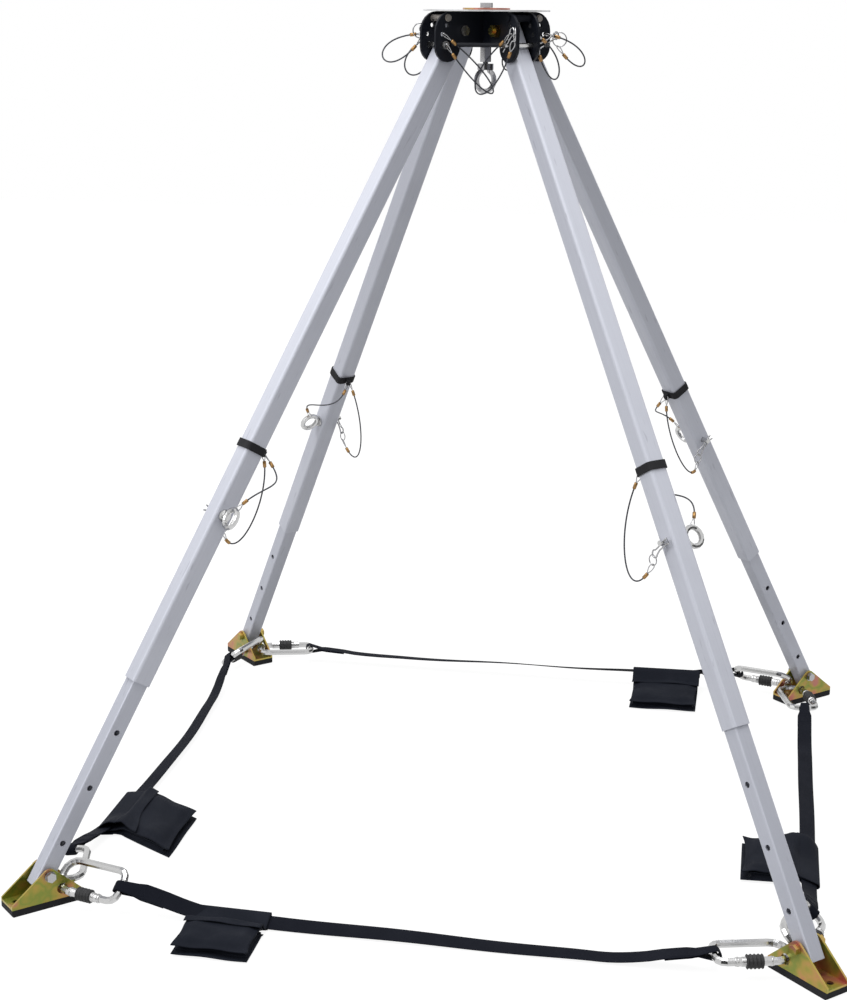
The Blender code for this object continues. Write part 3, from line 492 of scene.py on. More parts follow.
def tube(path, radius, sides=8, ring=False):
    """A round section carried along a path; the section's first axis lies in the path's plane."""
    path = np.asarray(path, float)
    ahead = unit(np.roll(path, -1, 0) - np.roll(path, 1, 0) if ring else np.gradient(path, axis=0))
    side = unit(np.cross(np.linalg.svd(path - path.mean(0))[2][2], ahead))
    third = np.cross(ahead, side)
    angle = circle(sides)[None, :, None]
    points = path[:, None] + radius * (np.cos(angle) * side[:, None] + np.sin(angle) * third[:, None])
    chart = np.stack(np.broadcast_arrays(run_along(path)[:, None], angle[..., 0] * radius), -1)
    return grid(points, chart, True) if ring else closed(points, chart)


def place(matrix, points):
    """Points times a 4 by 4 matrix."""
    m = np.array(matrix)
    return np.asarray(points, float) @ m[:3, :3].T + m[:3, 3]


def smooth_path(points, count):
    """A curve through the points: each span blends the parabolas through its neighbours."""
    p = np.asarray(points, float)
    p = np.concatenate([[2 * p[0] - p[1]], p, [2 * p[-1] - p[-2]]])
    at = np.linspace(0, len(p) - 3 - 1e-9, count)
    i = at.astype(int)
    t = (at - i)[:, None]
    a, b, c, d = p[i], p[i + 1], p[i + 2], p[i + 3]
    return 0.5 * (2 * b + (c - a) * t + (2 * a - 5 * b + 4 * c - d) * t**2
                  + (3 * b - a - 3 * c + d) * t**3)


print("made tube, place and smooth_path")

# %% [markdown]
# ## Base webbing
# Each strap is 25 mm webbing. Its ends are bunched round the bars of two links, turned back
# and sewn, so one thin ribbon is carried along that whole path, from one sewn tail to the other.
# The ribbon twists from one bar's direction to the other's along its length.

# %% Strap course
LINK_LENGTH, LINK_WIDTH = 0.099, 0.047  # a link's rod, centre line to centre line
FOOT_CORNER = 0.020  # radius of the rod's bends
CHAIN_HOLE, CHAIN_SIDE = (-0.0180, -0.0228), 0.0185  # the bracket's hole, from the ankle
LINK_YAW = 15.0  # degrees that a link turns in from its strap's line
LINK_TILT = {"a": 40.0, "b": 2.0}  # degrees that a link leans over
LINK_HANG = {"a": -117.7, "b": -128.0}  # where on its bend a link hangs in the hole
LINK_PULL = {"a": 0.0017, "b": 0.0015}  # how far the strap draws it out
WEB_WIDTH, WEB_PITCH = 0.025, 0.0011  # pitch is half the step between doubled layers
LOOP_R, NECK, SEWN = 0.0078, 0.022, 0.044  # the loop, its seam's start and its seam's length
GATHERED = 0.60  # share of the width that is left in the loop
SETTLE_FROM, SETTLE_OVER = 0.004, 0.150  # where a strap leaves a link's height, and how soon
LAID_FLAT = 0.42  # share of its lean that it loses on the ground
# how far each strap bows inward, in metres, and how much of its height it loses between the links
SLACK = {"front": (0.0, 1.0), "right": (0.0, 1.0), "back": (0.0, 0.35), "left": (0.022, 0.9)}


def ease(x):
    """0 to 1 with level ends."""
    x = np.clip(x, 0, 1)
    return x * x * (3 - 2 * x)


def link_frame(kind, leg):
    """A link's own frame: X from its foot end to its strap end, gate on the low Y side."""
    hang = math.radians(LINK_HANG[kind])
    corner = Vector((FOOT_CORNER * (1 + math.cos(hang)),
                     FOOT_CORNER * (1 + math.sin(hang)) - LINK_WIDTH / 2, 0))
    turn = Matrix.Rotation(math.radians(135.0 - LINK_YAW), 4, "Z") @ Matrix.Rotation(
        math.radians(LINK_TILT[kind]), 4, "X")
    inside = Matrix.Translation((CHAIN_HOLE[0], CHAIN_SIDE, CHAIN_HOLE[1])) @ turn
    mirror = Matrix.Diagonal((1, -1, 1, 1)) if kind == "b" else Matrix.Identity(4)
    return FOOT_FRAME[leg] @ mirror @ inside @ Matrix.Translation(
        Vector((LINK_PULL[kind], 0, 0)) - corner)


class Course:
    """One strap's start, the directions of its bars, its length and direction, and its slack."""

    def __init__(self, side):
        order, ends = list(LEGS), []
        second = order[(order.index(SIDES[side]) + 1) % 4]
        for kind, leg in (("a", SIDES[side]), ("b", second)):
            turn = link_frame(kind, leg)
            bar = (turn.to_3x3() @ Vector((0, 1, 0))).normalized()
            ends.append((np.array(turn @ Vector((LINK_LENGTH, 0, 0))), np.array(bar)))
        (self.start, self.bar_a), (stop, bar_b) = ends
        self.bar_b = bar_b if self.bar_a @ bar_b > 0 else -bar_b
        self.length = np.linalg.norm(stop - self.start)
        self.along = (stop - self.start) / self.length
        self.bow, self.settle = SLACK[side]


def strap_place(course, along_by, across_by, out_by):
    """Points along, across and out of the strap, in the row frame.

    Between the links the strap settles until its lower edge lies on the ground, and a slack one
    bows inward.
    """
    share = np.clip((along_by - NECK) / (course.length - 2 * NECK), 0, 1)[..., None]
    from_end = np.minimum(along_by, course.length - along_by)
    settled = course.settle * (ease((from_end - SETTLE_FROM) / SETTLE_OVER) ** 0.8)[..., None]
    across = course.bar_a * (1 - share) + course.bar_b * share
    across = unit(across * (1 - settled * np.array((0, 0, LAID_FLAT))))
    out = unit(np.cross(course.along, across))
    out *= np.where(out[..., 2:] < 0, -1, 1)
    line = course.start + course.along * along_by[..., None]
    ground = 0.0030 + WEB_WIDTH / 2 * np.abs(across[..., 2:])
    drop = settled * np.minimum(ground - line[..., 2:], 0)
    inward = -line * (1, 1, 0) / (np.linalg.norm(line[..., :2], axis=-1, keepdims=True) + 1e-9)
    bend = course.bow * np.sin(np.pi * along_by / course.length)[..., None]
    line = line + drop * np.array((0, 0, 1)) + inward * bend
    return line + across * across_by[..., None] + out * out_by[..., None]


print("from bar to bar", {k: round(float(Course(k).length), 4) for k in SIDES})

# %% [markdown]
# The path is drawn once from the side, in a flat chart, and the section is added to it there. The
# function above then carries all the points to their place at once, twist and sag included.

# %% Strap meshes
def strap_path(length):
    """Side view of the ribbon: tail, loop round the bar, long run, loop, tail."""
    turn = np.radians(np.linspace(-100, -260, 13))
    loop = np.stack([np.cos(turn), np.sin(turn)], 1) * LOOP_R - (0.0012, 0)
    tail = np.stack([np.linspace(NECK + SEWN, NECK, 16), np.full(16, -WEB_PITCH)], 1)
    half = np.concatenate([tail, loop, tail[::-1] * (1, -1)])
    single = NECK + SEWN + 0.02
    run = np.stack([np.linspace(single, length - single, 60), np.zeros(60)], 1)
    other = half[::-1] * (-1, 1) + (length, 0)
    return np.concatenate([half, run, other])


def strap(side):
    """The ribbon's rounded flat section at every point of its path."""
    course = Course(side)
    path = strap_path(course.length)
    ahead = unit(np.gradient(path, axis=0))
    normal = np.stack([-ahead[:, 1], ahead[:, 0]], 1)
    angle = circle(20)
    across = np.sign(np.cos(angle)) * np.abs(np.cos(angle)) ** 0.35 * WEB_WIDTH / 2
    thick = np.sign(np.sin(angle)) * np.abs(np.sin(angle)) ** 0.6 * 0.00095
    from_end = np.minimum(path[:, 0], course.length - path[:, 0])
    width = GATHERED + (1 - GATHERED) * np.clip((from_end - NECK / 2) / NECK, 0, 1)
    ripple = 0.0010 * np.sin(path[:, 0] * 23.0 + len(side))
    along_by = path[:, :1] + normal[:, :1] * thick
    free = np.clip((from_end - 0.10) / 0.08, 0, 1) * ripple
    out_by = path[:, 1:] + normal[:, 1:] * thick + free[:, None]
    across_by = width[:, None] * across
    chart = np.stack(np.broadcast_arrays(run_along(path)[:, None], across[None, :]), -1)
    ribbon = closed(strap_place(course, along_by, across_by, out_by), chart)
    made = piece("webbing_" + side, [ribbon], WEBBING, "foot_" + SIDES[side])
    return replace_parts(made, "strap_" + side)


straps = {side: strap(side) for side in SIDES}
print("straps", {side: len(s.data.polygons) for side, s in straps.items()})

# %% [markdown]
# The loop is held by rows of stitches on both faces. A stitch is a short bead of thread, and one
# mesh holds a whole strap's stitches: the bead's few points are added to every stitch's place.


# %% Stitches
BEAD_HALF, BEAD_WIDE, BEAD_HIGH = 0.0011, 0.00032, 0.00030
STITCH_LIFT = 0.00212  # from the strap's middle to the doubled part's face


def stitches(side):
    """Four short rows across and two long rows on the doubled part, at both ends."""
    course, rows = Course(side), []
    for x in (NECK + 0.006, NECK + 0.012, NECK + SEWN - 0.006, NECK + SEWN - 0.011):
        rows.append(np.stack([np.full(9, x), np.linspace(-0.0085, 0.0085, 9), np.zeros(9)], 1))
    for y in (-0.0095, 0.0095):
        reach = np.linspace(NECK + 0.008, NECK + SEWN - 0.008, 12)
        rows.append(np.stack([reach, np.full(12, y), np.ones(12)], 1))
    spots = np.concatenate(rows)
    spots = np.concatenate([spots, spots * (-1, 1, 1) + (course.length, 0, 0)])
    where_x, where_y, lengthways = (spots[:, k][:, None, None] for k in range(3))
    angle, girth = circle(6), np.array([[0.01], [1], [1], [0.01]])
    long_way = np.array([[-1], [-0.6], [0.6], [1]]) * BEAD_HALF
    wide, high = girth * np.cos(angle) * BEAD_WIDE, girth * np.sin(angle) * BEAD_HIGH
    x = where_x + np.where(lengthways > 0, long_way, wide)
    y = where_y + np.where(lengthways > 0, wide, long_way)
    beads = []
    for lift in (STITCH_LIFT, -STITCH_LIFT):
        beads += [closed(bead) for bead in strap_place(course, x, y, np.broadcast_to(high + lift, x.shape))]
    return piece("stitches_" + side, beads, THREAD, "foot_" + SIDES[side])


for side in SIDES:
    print("stitches", side, len(stitches(side).data.polygons))

# %% [markdown]
# ## Pouches
# A pouch is a flat pocket: two panels joined by a gusset that folds inward on three sides.
# Its flap is one cloth that comes from under the webbing, wraps over it and lies on the pocket.
# On two of them the flap's end has lifted into an open roll, and one has slid along its strap.
# Each cloth is a folded grid.

# %% Cloth with two faces
def cloth(centre, thick):
    """A sheet's middle surface moved half its thickness both ways, with a rounded rim."""
    rows = np.gradient(centre, axis=0)
    columns = np.gradient(centre, axis=1)
    normal = np.cross(rows, columns)
    normal /= np.linalg.norm(normal, axis=-1, keepdims=True) + 1e-12
    edge = [np.linalg.norm(e, axis=-1, keepdims=True) for e in (columns[:, -1], columns[:, 0])]
    right_rim = centre[:, -1] + columns[:, -1] / edge[0] * thick / 2
    left_rim = centre[:, 0] - columns[:, 0] / edge[1] * thick / 2
    points = np.concatenate([centre - normal * thick / 2, right_rim[:, None],
                             (centre + normal * thick / 2)[:, ::-1], left_rim[:, None]], 1)
    flat = np.concatenate([centre, right_rim[:, None], centre[:, ::-1], left_rim[:, None]], 1)
    points = np.concatenate([flat[:1], points, flat[-1:]])
    run = np.linalg.norm(rows, axis=-1).mean(1)
    deep = np.linalg.norm(columns, axis=-1).mean(0)
    v = np.concatenate([np.cumsum(deep), [deep.sum()], np.cumsum(deep)[::-1], [0]])
    u = np.concatenate([[0], np.cumsum(run), [run.sum()]])
    chart = np.stack(np.broadcast_arrays(u[:, None], v[None, :]), -1)
    return grid(points, chart)


print("made cloth")

# %% Pouch sizes and frame
# share of the strap's length, side it lies on, lean along it, curl of the flap, length and depth
POUCHES = {
    "front": (0.193, 1, 0.0, 0.0, 0.106, 0.104),
    "right": (0.260, -1, 0.0, 1.0, 0.126, 0.096),
    "back": (0.160, -1, 0.0, 0.0, 0.120, 0.128),
    "left": (0.790, -1, 0.62, 1.0, 0.138, 0.118)}
POUCH_HEIGHT, POUCH_LIFT = 0.0150, 0.0034  # thickness, and height of the lower panel
PANEL, GUSSET, FLAP = 0.0014, 0.0012, 0.0013  # thickness of the cloths
CROWN_PANEL = 0.0015
GUSSET_IN, FLAP_DEPTH, FLAP_PAST = 0.0045, 0.042, 0.002
ROLL_HEIGHT, ROLL_REACH = 0.0125, 0.012
# the flap's section: under the webbing, round its edge, over it and out to the pocket
FLAP_KEY = ((0.011, -0.0036), (0.0, -0.0037), (-0.0125, -0.0036), (-0.0158, -0.0018),
            (-0.0160, 0.0016), (-0.0130, 0.0036), (0.0, 0.0040), (0.013, 0.0042), (0.020, 0.0040))


def pouch_frame(side):
    """A function from along, out and up of a pouch to the row frame, and the ground's height there."""
    share, way, swing = POUCHES[side][:3]
    course = Course(side)
    along, middle = course.along, np.array(share * course.length)
    centre = strap_place(course, middle, np.zeros(()), np.zeros(()))
    level = np.array((along[0], along[1], 0)) / np.hypot(along[0], along[1])
    outward = np.array((level[1], -level[0], 0)) * way
    across = strap_place(course, middle, np.ones(()), np.zeros(())) - centre
    across *= 1 if across @ outward > 0 else -1
    tilt = math.atan2(across[2], across @ outward)

    def to_row(a, x, y):
        """Near the webbing the section leans as the webbing does; further out it lies level."""
        lean = tilt * (1 - np.clip((x - 0.0138) / 0.016, 0, 1))
        out = x * np.cos(lean) - y * np.sin(lean)
        rise = x * np.sin(lean) + y * np.cos(lean)
        slide = swing * np.maximum(out - WEB_WIDTH, 0)
        lifted = centre + rise[..., None] * np.array((0, 0, 1.0))
        return lifted + along * (a + slide)[..., None] + outward * out[..., None]

    return to_row, POUCH_LIFT - centre[2]


print("drop from the webbing", {k: round(float(-pouch_frame(k)[1]), 4) for k in POUCHES})

# %% [markdown]
# The pocket's mouth is sewn to the webbing, so both panels start there and step down to the
# ground. Two low waves in each panel keep it from looking like a board.

# %% Panels and gusset
def panels(to_row, low, wide, deep):
    """The pocket's lower panel, and its upper panel, which is crowned and a little wrinkled."""
    a, x = np.meshgrid(np.linspace(-wide / 2, wide / 2, 34), np.linspace(0.004, deep + 0.002, 36),
                       indexing="ij")
    s, d = (a + wide / 2) / wide, x / deep
    at_mouth, at_end = ease((x - 0.012) / 0.022), ease((d - 0.8) / 0.2)
    rim = ease((0.5 - np.abs(s - 0.5)) / 0.16) * ease((1 - d) / 0.2)
    bottom = (1 - at_mouth) * -0.0036 + at_mouth * low + 0.0006 * np.sin(9 * s + 4 * d)
    dip = 0.0032 * np.sin(np.pi * s) * ease((d - 0.7) / 0.3)
    top = low + POUCH_HEIGHT - 0.0026 + 0.0042 * rim - dip
    top = top + 0.0009 * np.sin(11 * s * d + 2 * d) + 0.0007 * np.sin(17 * d - 5 * s)
    top = (1 - at_mouth) * np.minimum(0.0022, top) + at_mouth * top
    pinch = 1 - 0.05 * ease((d - 0.15) / 0.6) * (1 - at_end)
    drawn_in = 0.006 * at_end * (1 - np.abs(2 * s - 1) ** 3)
    return [cloth(to_row(a, x, bottom), PANEL), cloth(to_row(a * pinch, x - drawn_in, top), CROWN_PANEL)]


def gusset(to_row, low, wide, deep):
    """The strip between the panels on three sides, which bulges inward at half its height."""
    side, end = wide / 2 - GUSSET_IN, deep - 0.018
    corners = [(-side, 0.018), (-side, end), (-side + 0.003, end + 0.009), (0, end + 0.006),
               (side - 0.003, end + 0.009), (side, end), (side, 0.018)]
    line = smooth_path([(along, out, 0) for along, out in corners], 70)
    v = np.linspace(0, 1, 9)[None, :]
    inward = 0.0045 * np.sin(np.pi * v)
    a = line[:, :1] * (1 - inward / (wide / 2))
    x = line[:, 1:2] - inward * ease((line[:, 1:2] - end + 0.010) / 0.02)
    at_mouth = ease((x - 0.012) / 0.022)
    y = (low + 0.0002 + (POUCH_HEIGHT - 0.0052) * v) * at_mouth
    return cloth(to_row(a, x, y + (-0.003 + 0.004 * v) * (1 - at_mouth)), GUSSET)


print("made panels and gusset")

# %% [markdown]
# The flap is one section drawn from the side and repeated along the strap. Toward one end a hump
# is added to it, which opens the roll.

# %% Flap
def wrap(to_row, low, wide, curl):
    """The flap: wrapped over the webbing, then lying on the pocket, with its end rolled open."""
    section = smooth_path([(*point, 0) for point in FLAP_KEY], 44)[:, :2]
    on_pocket = np.linspace(0.0215, FLAP_DEPTH, 12)
    section = np.concatenate([section, np.c_[on_pocket, np.zeros(12)]])
    number = np.arange(len(section))
    t = np.linspace(-1, 1, 40)[:, None]
    x = np.broadcast_to(section[:, 0], (40, len(section)))
    y = np.broadcast_to(section[:, 1], x.shape)
    beyond = ease((x - 0.014) / 0.012) * (number > 30)
    free = (x - 0.02) / (FLAP_DEPTH - 0.02)
    rest = low + POUCH_HEIGHT + 0.0018 + 0.0028 * np.clip(1 - np.abs(t), 0, 1) ** 0.5
    y = y * (1 - beyond) + (rest + 0.0008 * np.sin(5 * t + 3 * free)) * beyond
    roll = curl * ease((t - 0.1) / 0.9)
    hump = np.sin(np.pi * np.clip((x + 0.016) / 0.05, 0, 1)) * (number > 16)
    y = y + roll * ROLL_HEIGHT * hump
    x = x + roll * ROLL_REACH * ease((x - 0.02) / 0.017) * (number > 30)
    return cloth(to_row(np.broadcast_to(t * (wide / 2 + FLAP_PAST), x.shape), x, y), FLAP)


print("made wrap")

# %% Pouches
def pouch(side):
    """A strap's pouch: the pocket of two panels and a gusset, and the flap."""
    to_row, low = pouch_frame(side)
    curl, wide, deep = POUCHES[side][3:]
    body = "foot_" + SIDES[side]
    cloths = [*panels(to_row, low, wide, deep), gusset(to_row, low, wide, deep)]
    made = piece("pocket_" + side, cloths, FABRIC, body)
    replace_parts(made, "pouch_" + side)
    return made, piece("flap_" + side, [wrap(to_row, low, wide, curl)], FABRIC, body)


for side in POUCHES:
    pocket, flap = pouch(side)
    print("pouch", side, len(pocket.data.polygons), len(flap.data.polygons))

# %% [markdown]
# ## Link sleeves
# Each link's gate is locked by a black plastic sleeve with raised rings and flutes for wet
# fingers. It is turned about the gate's axis: the radius is a function of the place along it
# and of the angle. Next to it a few turns of the gate's steel thread show.


# %% Turned pieces
def turned_shell(radius, low, high, matrix, rows, sides):
    """A closed shell whose radius is a function of place and angle, about a frame's X axis."""
    x, angle = np.meshgrid(np.linspace(low, high, rows), circle(sides), indexing="ij")
    r = radius(x, angle)
    return closed(place(matrix, np.stack([x, r * np.cos(angle), r * np.sin(angle)], -1)))


SLEEVE_HALF, SLEEVE_MOUTH, SLEEVE_RISE = 0.0119, 0.0074, 0.0018
RING_PITCH, THREAD_PITCH, THREAD_END = 0.0053, 0.001, 0.0175
GATE_R, COLLAR_R, COLLARS = 0.0065, 0.00668, ((-0.0235, -0.0222), (0.0222, 0.0235))


def sleeve_radius(x, angle):
    """9.2 mm plus rings and twelve flutes, drawn in at both ends."""
    end = ease((SLEEVE_HALF - 0.0001 - np.abs(x)) / 0.0010)
    rings = 0.00055 * np.clip(2.2 * np.cos(x * 2 * np.pi / RING_PITCH), -1, 1)
    flutes = 0.00030 * np.cos(12 * angle)
    return SLEEVE_MOUTH + end * (SLEEVE_RISE + rings + flutes)


def thread_radius(x, angle):
    """A fine rounded thread on the gate."""
    return GATE_R + 0.00022 * np.sin(x * 2 * np.pi / THREAD_PITCH + angle)


def collar_radius(x, angle):
    return np.full(x.shape, COLLAR_R)


print("made turned_shell and three radii")

# %% Sleeve, thread and two collars of every link
for leg in LEGS:
    for kind in "ab":
        gate = link_frame(kind, leg) @ Matrix.Translation((LINK_LENGTH / 2, -LINK_WIDTH / 2, 0))
        body = "foot_" + leg
        sleeve = turned_shell(sleeve_radius, -SLEEVE_HALF, SLEEVE_HALF, gate, 54, 36)
        thread = turned_shell(thread_radius, SLEEVE_HALF + 0.0001, THREAD_END, gate, 45, 20)
        collars = [turned_shell(collar_radius, low, high, gate, 3, 24) for low, high in COLLARS]
        piece(f"sleeve_{kind}_{leg}", [sleeve], BLACK_PLASTIC, body)
        piece(f"gate_thread_{kind}_{leg}", [thread, *collars], LINK, body)
print("sleeves", 2 * len(LEGS))

# %% [markdown]
# ## Lanyards and clips
# So that no pin is lost, thin coated cables tie each pin and each clip to the band or the ear.
# A cable ends in a bare steel loop closed by a crimped copper ferrule. Such a cable is springy, so
# it is a Bezier curve of a chosen length that leaves both ends along the ferrules, and its first
# and last centimetres are taken by the loops and ferrules.


# %% Cable tools
def spring(start, stop, leave, arrive, length):
    """A Bezier curve of a given length that leaves both ends along given directions."""
    start, stop = np.asarray(start, float), np.asarray(stop, float)
    leave, arrive = unit(leave), unit(arrive)
    t = np.linspace(0, 1, 90)[:, None]
    low, high = 0.0, 2 * length
    for _ in range(40):
        handle = (low + high) / 2
        path = (start * (1 - t) ** 3 + 3 * (start + leave * handle) * t * (1 - t) ** 2
                + 3 * (stop + arrive * handle) * t**2 * (1 - t) + stop * t**3)
        low, high = (handle, high) if run_along(path)[-1] < length else (low, handle)
    return path


def piece_of(path, start, stop, count):
    """The part of a path between two distances along it."""
    run = run_along(path)
    at = np.linspace(start, stop, count)
    return np.stack([np.interp(at, run, path[:, i]) for i in range(3)], 1)


def eyelet(tip, base):
    """A drop-shaped loop of wire from the ferrule round the thing it holds."""
    ahead = unit(tip - base)
    side = unit(np.cross(ahead, (0.3, 0.5, 0.81)))
    size = np.linalg.norm(tip - base) + 0.002
    angle = circle(28)[:, None]
    share = (1 - np.cos(angle)) / 2
    return base + ahead * size * share + side * 0.0042 * np.sin(angle) * share**0.5


print("made spring, piece_of and eyelet")

# %% Cables, clips and rings
LOOP, FERRULE, CABLE_R = 0.015, 0.009, 0.00115
IN_FERRULE, FERRULE_R = 0.004, 0.0026  # how far in the cable's coat starts
EYELET_WIRE, CLIP_WIRE, RING_WIRE = 0.0008, 0.0012, 0.0009  # radii
lengths = {}


def lanyard(name, start, stop, length, leave, arrive, bodies, fitting=None):
    """Cable, two loops and two ferrules, riding one body, or left free with its place baked in when it
    spans two.
    """
    path = spring(start, stop, leave, arrive, length)
    whole = run_along(path)[-1]
    middle = piece_of(path, LOOP + IN_FERRULE, whole - LOOP - IN_FERRULE, 60)
    loops, crimps = [], []
    for tip, first, last in ((path[0], LOOP, LOOP + FERRULE),
                             (path[-1], whole - LOOP, whole - LOOP - FERRULE)):
        crimp = piece_of(path, first, last, 4)
        loops.append(tube(eyelet(tip, crimp[0]), EYELET_WIRE, ring=True))
        crimps.append(tube(crimp, FERRULE_R, 12))
    cable = piece(name, [tube(middle, CABLE_R)], CABLE)
    loops = piece(name + "_loops", loops, STEEL)
    crimps = piece(name + "_ferrules", crimps, BRASS)
    for made in (cable, loops, crimps):
        if len(bodies) == 1:
            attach(made, bodies[0])
        else:
            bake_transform(made)
    lengths[name] = size = float(run_along(middle)[-1])
    [loops, crimps] + ([fitting] if fitting else [])


# a hairpin in its own plane: a straight arm, a round head, and a waved arm round the pin
HAIRPIN = ((-0.012, 0), (0.0, 0), (0.017, 0), (0.0225, -0.0022), (0.0275, 0.0005), (0.0280, 0.0060),
           (0.0235, 0.0085), (0.0185, 0.0066), (0.011, 0.0052), (0.004, 0.0056), (0.0, 0.0061),
           (-0.005, 0.0054), (-0.011, 0.0082))
HAIRPIN_HEAD = (0.0285, 0, 0.0035)


def hairpin(name, frame_of_clip, body):
    """A spring clip in a pin's cross hole. Gives the outer end of its head."""
    line = smooth_path([(x, 0, z) for x, z in HAIRPIN], 70)
    piece(name, [tube(place(frame_of_clip, line), CLIP_WIRE)], STEEL, body)
    return place(frame_of_clip, HAIRPIN_HEAD)


def split_ring(name, centre, radius, axis, body):
    """A ring of wire about an axis, between a clip and its cable."""
    axis = unit(axis)
    one = unit(np.cross(axis, (0.2, 0.9, 0.1)))
    angle = circle(26)[:, None]
    line = np.asarray(centre) + radius * (np.cos(angle) * one + np.sin(angle) * np.cross(axis, one))
    return piece(name, [tube(line, RING_WIRE, ring=True)], STEEL, body)


print("made lanyard, hairpin and split_ring")

# %% [markdown]
# Each leg has four cables: from the band to the eye pin and to its clip, and from the two ears to
# the lock pin and to its clip. Points are on the leg or on the head, from the hinge. A cable's
# directions are sums of down, outward from the head, and n and t across the leg. No two legs hang
# quite alike, so the lengths vary, and two of the head's cables hang in under it.

# %% Lanyards of every leg
PIN_UP, LUG_UP, RING_OUT = 0.564 - LEG_LENGTH, 0.670 - LEG_LENGTH, 0.0342
LUG, LEG_CLIP = (-0.0222, 0, LUG_UP), (0, -0.0231, PIN_UP)
PIN_RING = (0, RING_OUT + 0.003, PIN_UP + 0.0138)
EAR, FAR_EAR = (0.0925, 0.0185, -0.0050), (0.0925, -0.0185, -0.0050)
LOCK_HEAD, LOCK_CLIP = (0.0193, 0.0262, -0.035), (0.0193, -0.0286, -0.035)
PIN_CABLE, CLIP_CABLE, LOCK_CABLE, TETHER, INNER_CABLE = 0.140, 0.190, 0.150, 0.160, 0.215
INNER_LOCK, INNER_TETHER = "fl", "fr"
down = np.array((0, 0, -1.0))
for number, leg in enumerate(LEGS):
    on_leg, on_head = LEG_FRAME[leg], HEAD_FRAME[leg]
    upper, pin, lock = "upper_leg_" + leg, "eye_pin_" + leg, "lock_pin_" + leg
    n, t = (np.array(on_leg.to_3x3() @ Vector(v)) for v in ((1, 0, 0), (0, 1, 0)))
    outward = np.array(on_head.to_3x3() @ Vector((1, 0, 0)))
    vary = 1 + 0.10 * math.sin(2.3 * number)

    lug, pin_ring = place(on_leg, LUG), place(on_leg, PIN_RING)
    lanyard("pin_lanyard_" + leg, lug + t * 0.002, pin_ring, PIN_CABLE * vary,
            down * 0.6 + t * 0.5 - n * 0.5, -down * 0.7 + t * 0.45 - n * 0.3, [upper, pin])

    turned = on_leg @ Matrix.Translation(LEG_CLIP) @ Matrix.Rotation(math.radians(165), 4, "Y")
    end = hairpin("leg_clip_" + leg, turned, upper)
    ring = split_ring("leg_split_ring_" + leg, end + down * 0.006, 0.0075, t, upper)
    away = down * 0.9 - n * 0.55 - t * 0.30
    lanyard("clip_lanyard_" + leg, lug - t * 0.002, end + down * 0.0135, CLIP_CABLE * vary,
            away, away, [upper], ring)

    if leg == INNER_LOCK:
        length = INNER_CABLE
        leave, arrive = t * 0.35 + down * 0.7 - outward * 0.9, t * 0.35 + down - outward * 0.6
    else:
        length = LOCK_CABLE * vary
        leave, arrive = t * 0.9 + down * 0.35 + outward * 0.5 * math.cos(2 * number), t * 0.35 + down
    lanyard("lock_lanyard_" + leg, place(on_head, EAR) + t * 0.004, place(on_leg, LOCK_HEAD),
            length, leave, arrive, ["head", lock])

    turned = on_leg @ Matrix.Translation(LOCK_CLIP) @ Matrix.Rotation(
        math.radians(-40 + 22 * number), 4, "Y")
    end = hairpin("head_clip_" + leg, turned, "head")
    ring = split_ring("head_split_ring_" + leg, end + down * 0.0085 + outward * 0.003, 0.0105,
                      t + outward * 0.6, "head")
    if leg == INNER_TETHER:
        length = INNER_CABLE
        leave, arrive = down * 0.7 - outward * 0.9 - t * 0.4, down * 0.9 - outward * 0.4
    else:
        length = TETHER * vary
        leave = outward * 0.7 - t * 0.9 - down * 0.5 * math.sin(1.7 * number)
        arrive = down * 0.8 + outward * 0.7
    lanyard("tether_" + leg, place(on_head, FAR_EAR) - t * 0.004, end + down * 0.019,
            length, leave, arrive, ["head"], ring)
print("cable lengths in metres", {name: round(v, 3) for name, v in lengths.items()})

# %% [markdown]
# ## Floor and light
# A pale floor and a pale world give the white studio of the photograph. Both are white to the
# camera and in reflections, and light the object only a little, so colours render as they are
# written. A lamp on the left and one above give the tubes their bright and dull faces. Dark cards
# round the object show only in bright metal, which would be all but white without them.

# %% Floor
FLOOR_HALF, FLOOR_Z, FLOOR_GREY, FLOOR_GLOW = 9.0, -0.0004, 0.16, 0.90


def flat_sheet(name, corners, finish):
    """One face of four corners, with a finish."""
    mesh = bpy.data.meshes.new(name)
    mesh.from_pydata(corners, [], [(0, 1, 2, 3)])
    mesh.materials.append(finish.material)
    return add(name, mesh)


def seen_straight(finish):
    """1 for what the camera sees, straight or in a reflection, and 0 for other light."""
    seen = finish.node("ShaderNodeLightPath", out="Is Camera Ray")
    for other in ("Is Glossy Ray", "Is Transmission Ray"):
        seen = seen.math("MAXIMUM", seen, finish.node("ShaderNodeLightPath", out=other))
    return seen


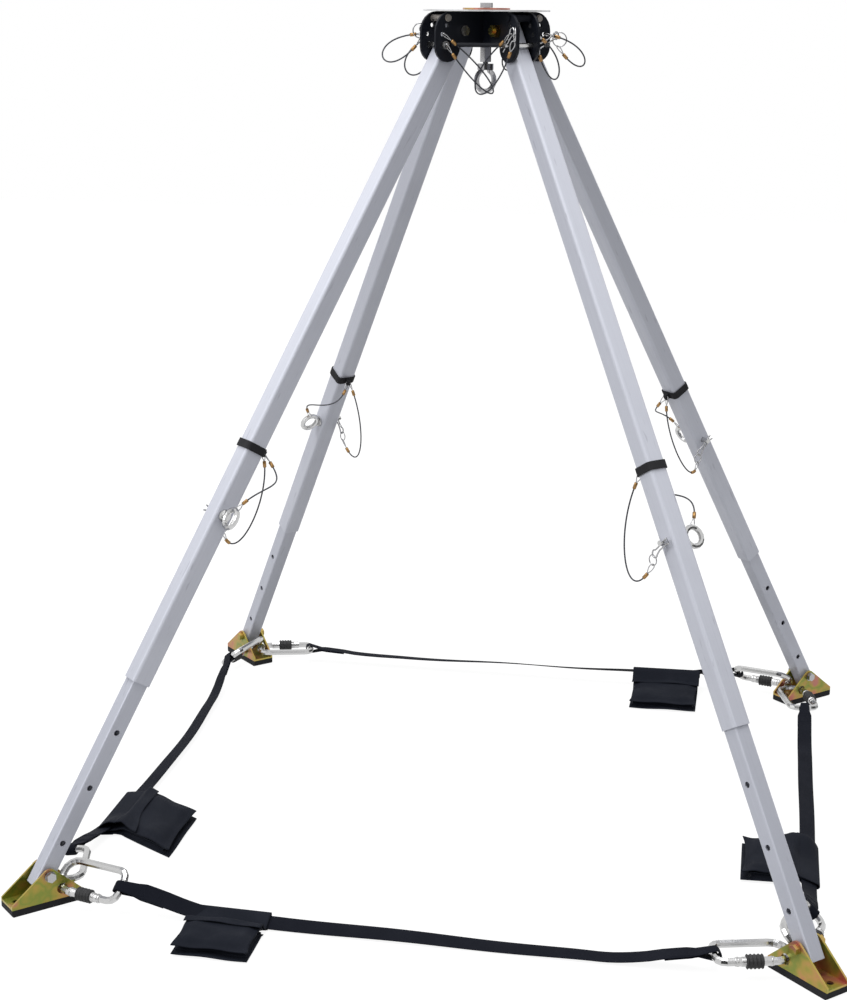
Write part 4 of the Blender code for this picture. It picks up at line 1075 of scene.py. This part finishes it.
ground = Finish("pale_floor", Roughness=0.9, Specular_IOR_Level=0.1)
ground.shader.inputs["Base Color"].default_value = (FLOOR_GREY, FLOOR_GREY, FLOOR_GREY, 1)
glow = ground.node("ShaderNodeEmission", {}, {"Color": (1, 1, 1, 1), "Strength": FLOOR_GLOW})
shown = ground.node("ShaderNodeMixShader", {}, {0: seen_straight(ground), 2: glow})
total = ground.node("ShaderNodeAddShader", {}, {0: Shade(ground, ground.shader.outputs[0]), 1: shown})
ground.tree.links.new(total.socket, ground.tree.nodes["Material Output"].inputs["Surface"])
floor = flat_sheet("floor", [(x * FLOOR_HALF, y * FLOOR_HALF, FLOOR_Z)
                             for x, y in ((-1, -1), (1, -1), (1, 1), (-1, 1))], ground)
print("floor", 2 * FLOOR_HALF, "m wide")

# %% World and lamps
LIT, SEEN = 0.64, 1.0  # the world's light on the object, and to the eye
world = bpy.data.worlds.new("studio")
bpy.context.scene.world = world
world.use_nodes = True


class Sky(Finish):
    """The world's nodes, made with the same methods as a finish's."""

    def __init__(self, tree):
        self.tree = tree


sky = Sky(world.node_tree)
back = sky.tree.nodes["Background"]
back.inputs["Color"].default_value = (1, 1, 1, 1)
sky.tree.links.new((seen_straight(sky) * (SEEN - LIT) + LIT).socket, back.inputs["Strength"])


def lamp(name, where, power, size):
    """A square soft lamp that looks at the middle of the object."""
    made = bpy.data.lights.new(name, "AREA")
    made.energy, made.size = power, size
    holder = add(name, made)
    holder.location = where
    holder.rotation_euler = (Vector((0, 0, 0.6)) - Vector(where)).to_track_quat("-Z", "Y").to_euler()


lamp("key_left", (-2.8, -2.6, 3.4), power=70.0, size=2.2)
lamp("top", (-0.3, -0.4, 4.6), power=100.0, size=2.4)
print("lamps", [made.name for made in bpy.data.lights])

# %% Dark cards
def flag(name, where, wide, high):
    """A dark upright card that only shows in reflections, and gives bright metal its dark edge."""
    span_x, span_y = (wide / 2, 0) if abs(where[1]) > abs(where[0]) else (0, wide / 2)
    x, y, z = where
    card = flat_sheet(name, [(x - span_x, y - span_y, z), (x + span_x, y + span_y, z),
                             (x + span_x, y + span_y, z + high), (x - span_x, y - span_y, z + high)],
                      CARD)
    for ray in ("camera", "diffuse", "shadow", "transmission"):
        setattr(card, "visible_" + ray, False)


CARD = Finish("dark_card", Roughness=0.9)
CARD.shader.inputs["Base Color"].default_value = (0.03, 0.03, 0.032, 1)
flag("flag_behind_camera", (0.0, -5.0, 0.0), 5.0, 2.6)
flag("flag_right", (4.2, 0.0, 0.0), 5.0, 2.2)
flag("flag_left", (-4.6, 1.0, 0.0), 3.0, 1.6)
flag("flag_back", (0.6, 5.0, 0.1), 2.4, 1.4)
print("stage pieces made")
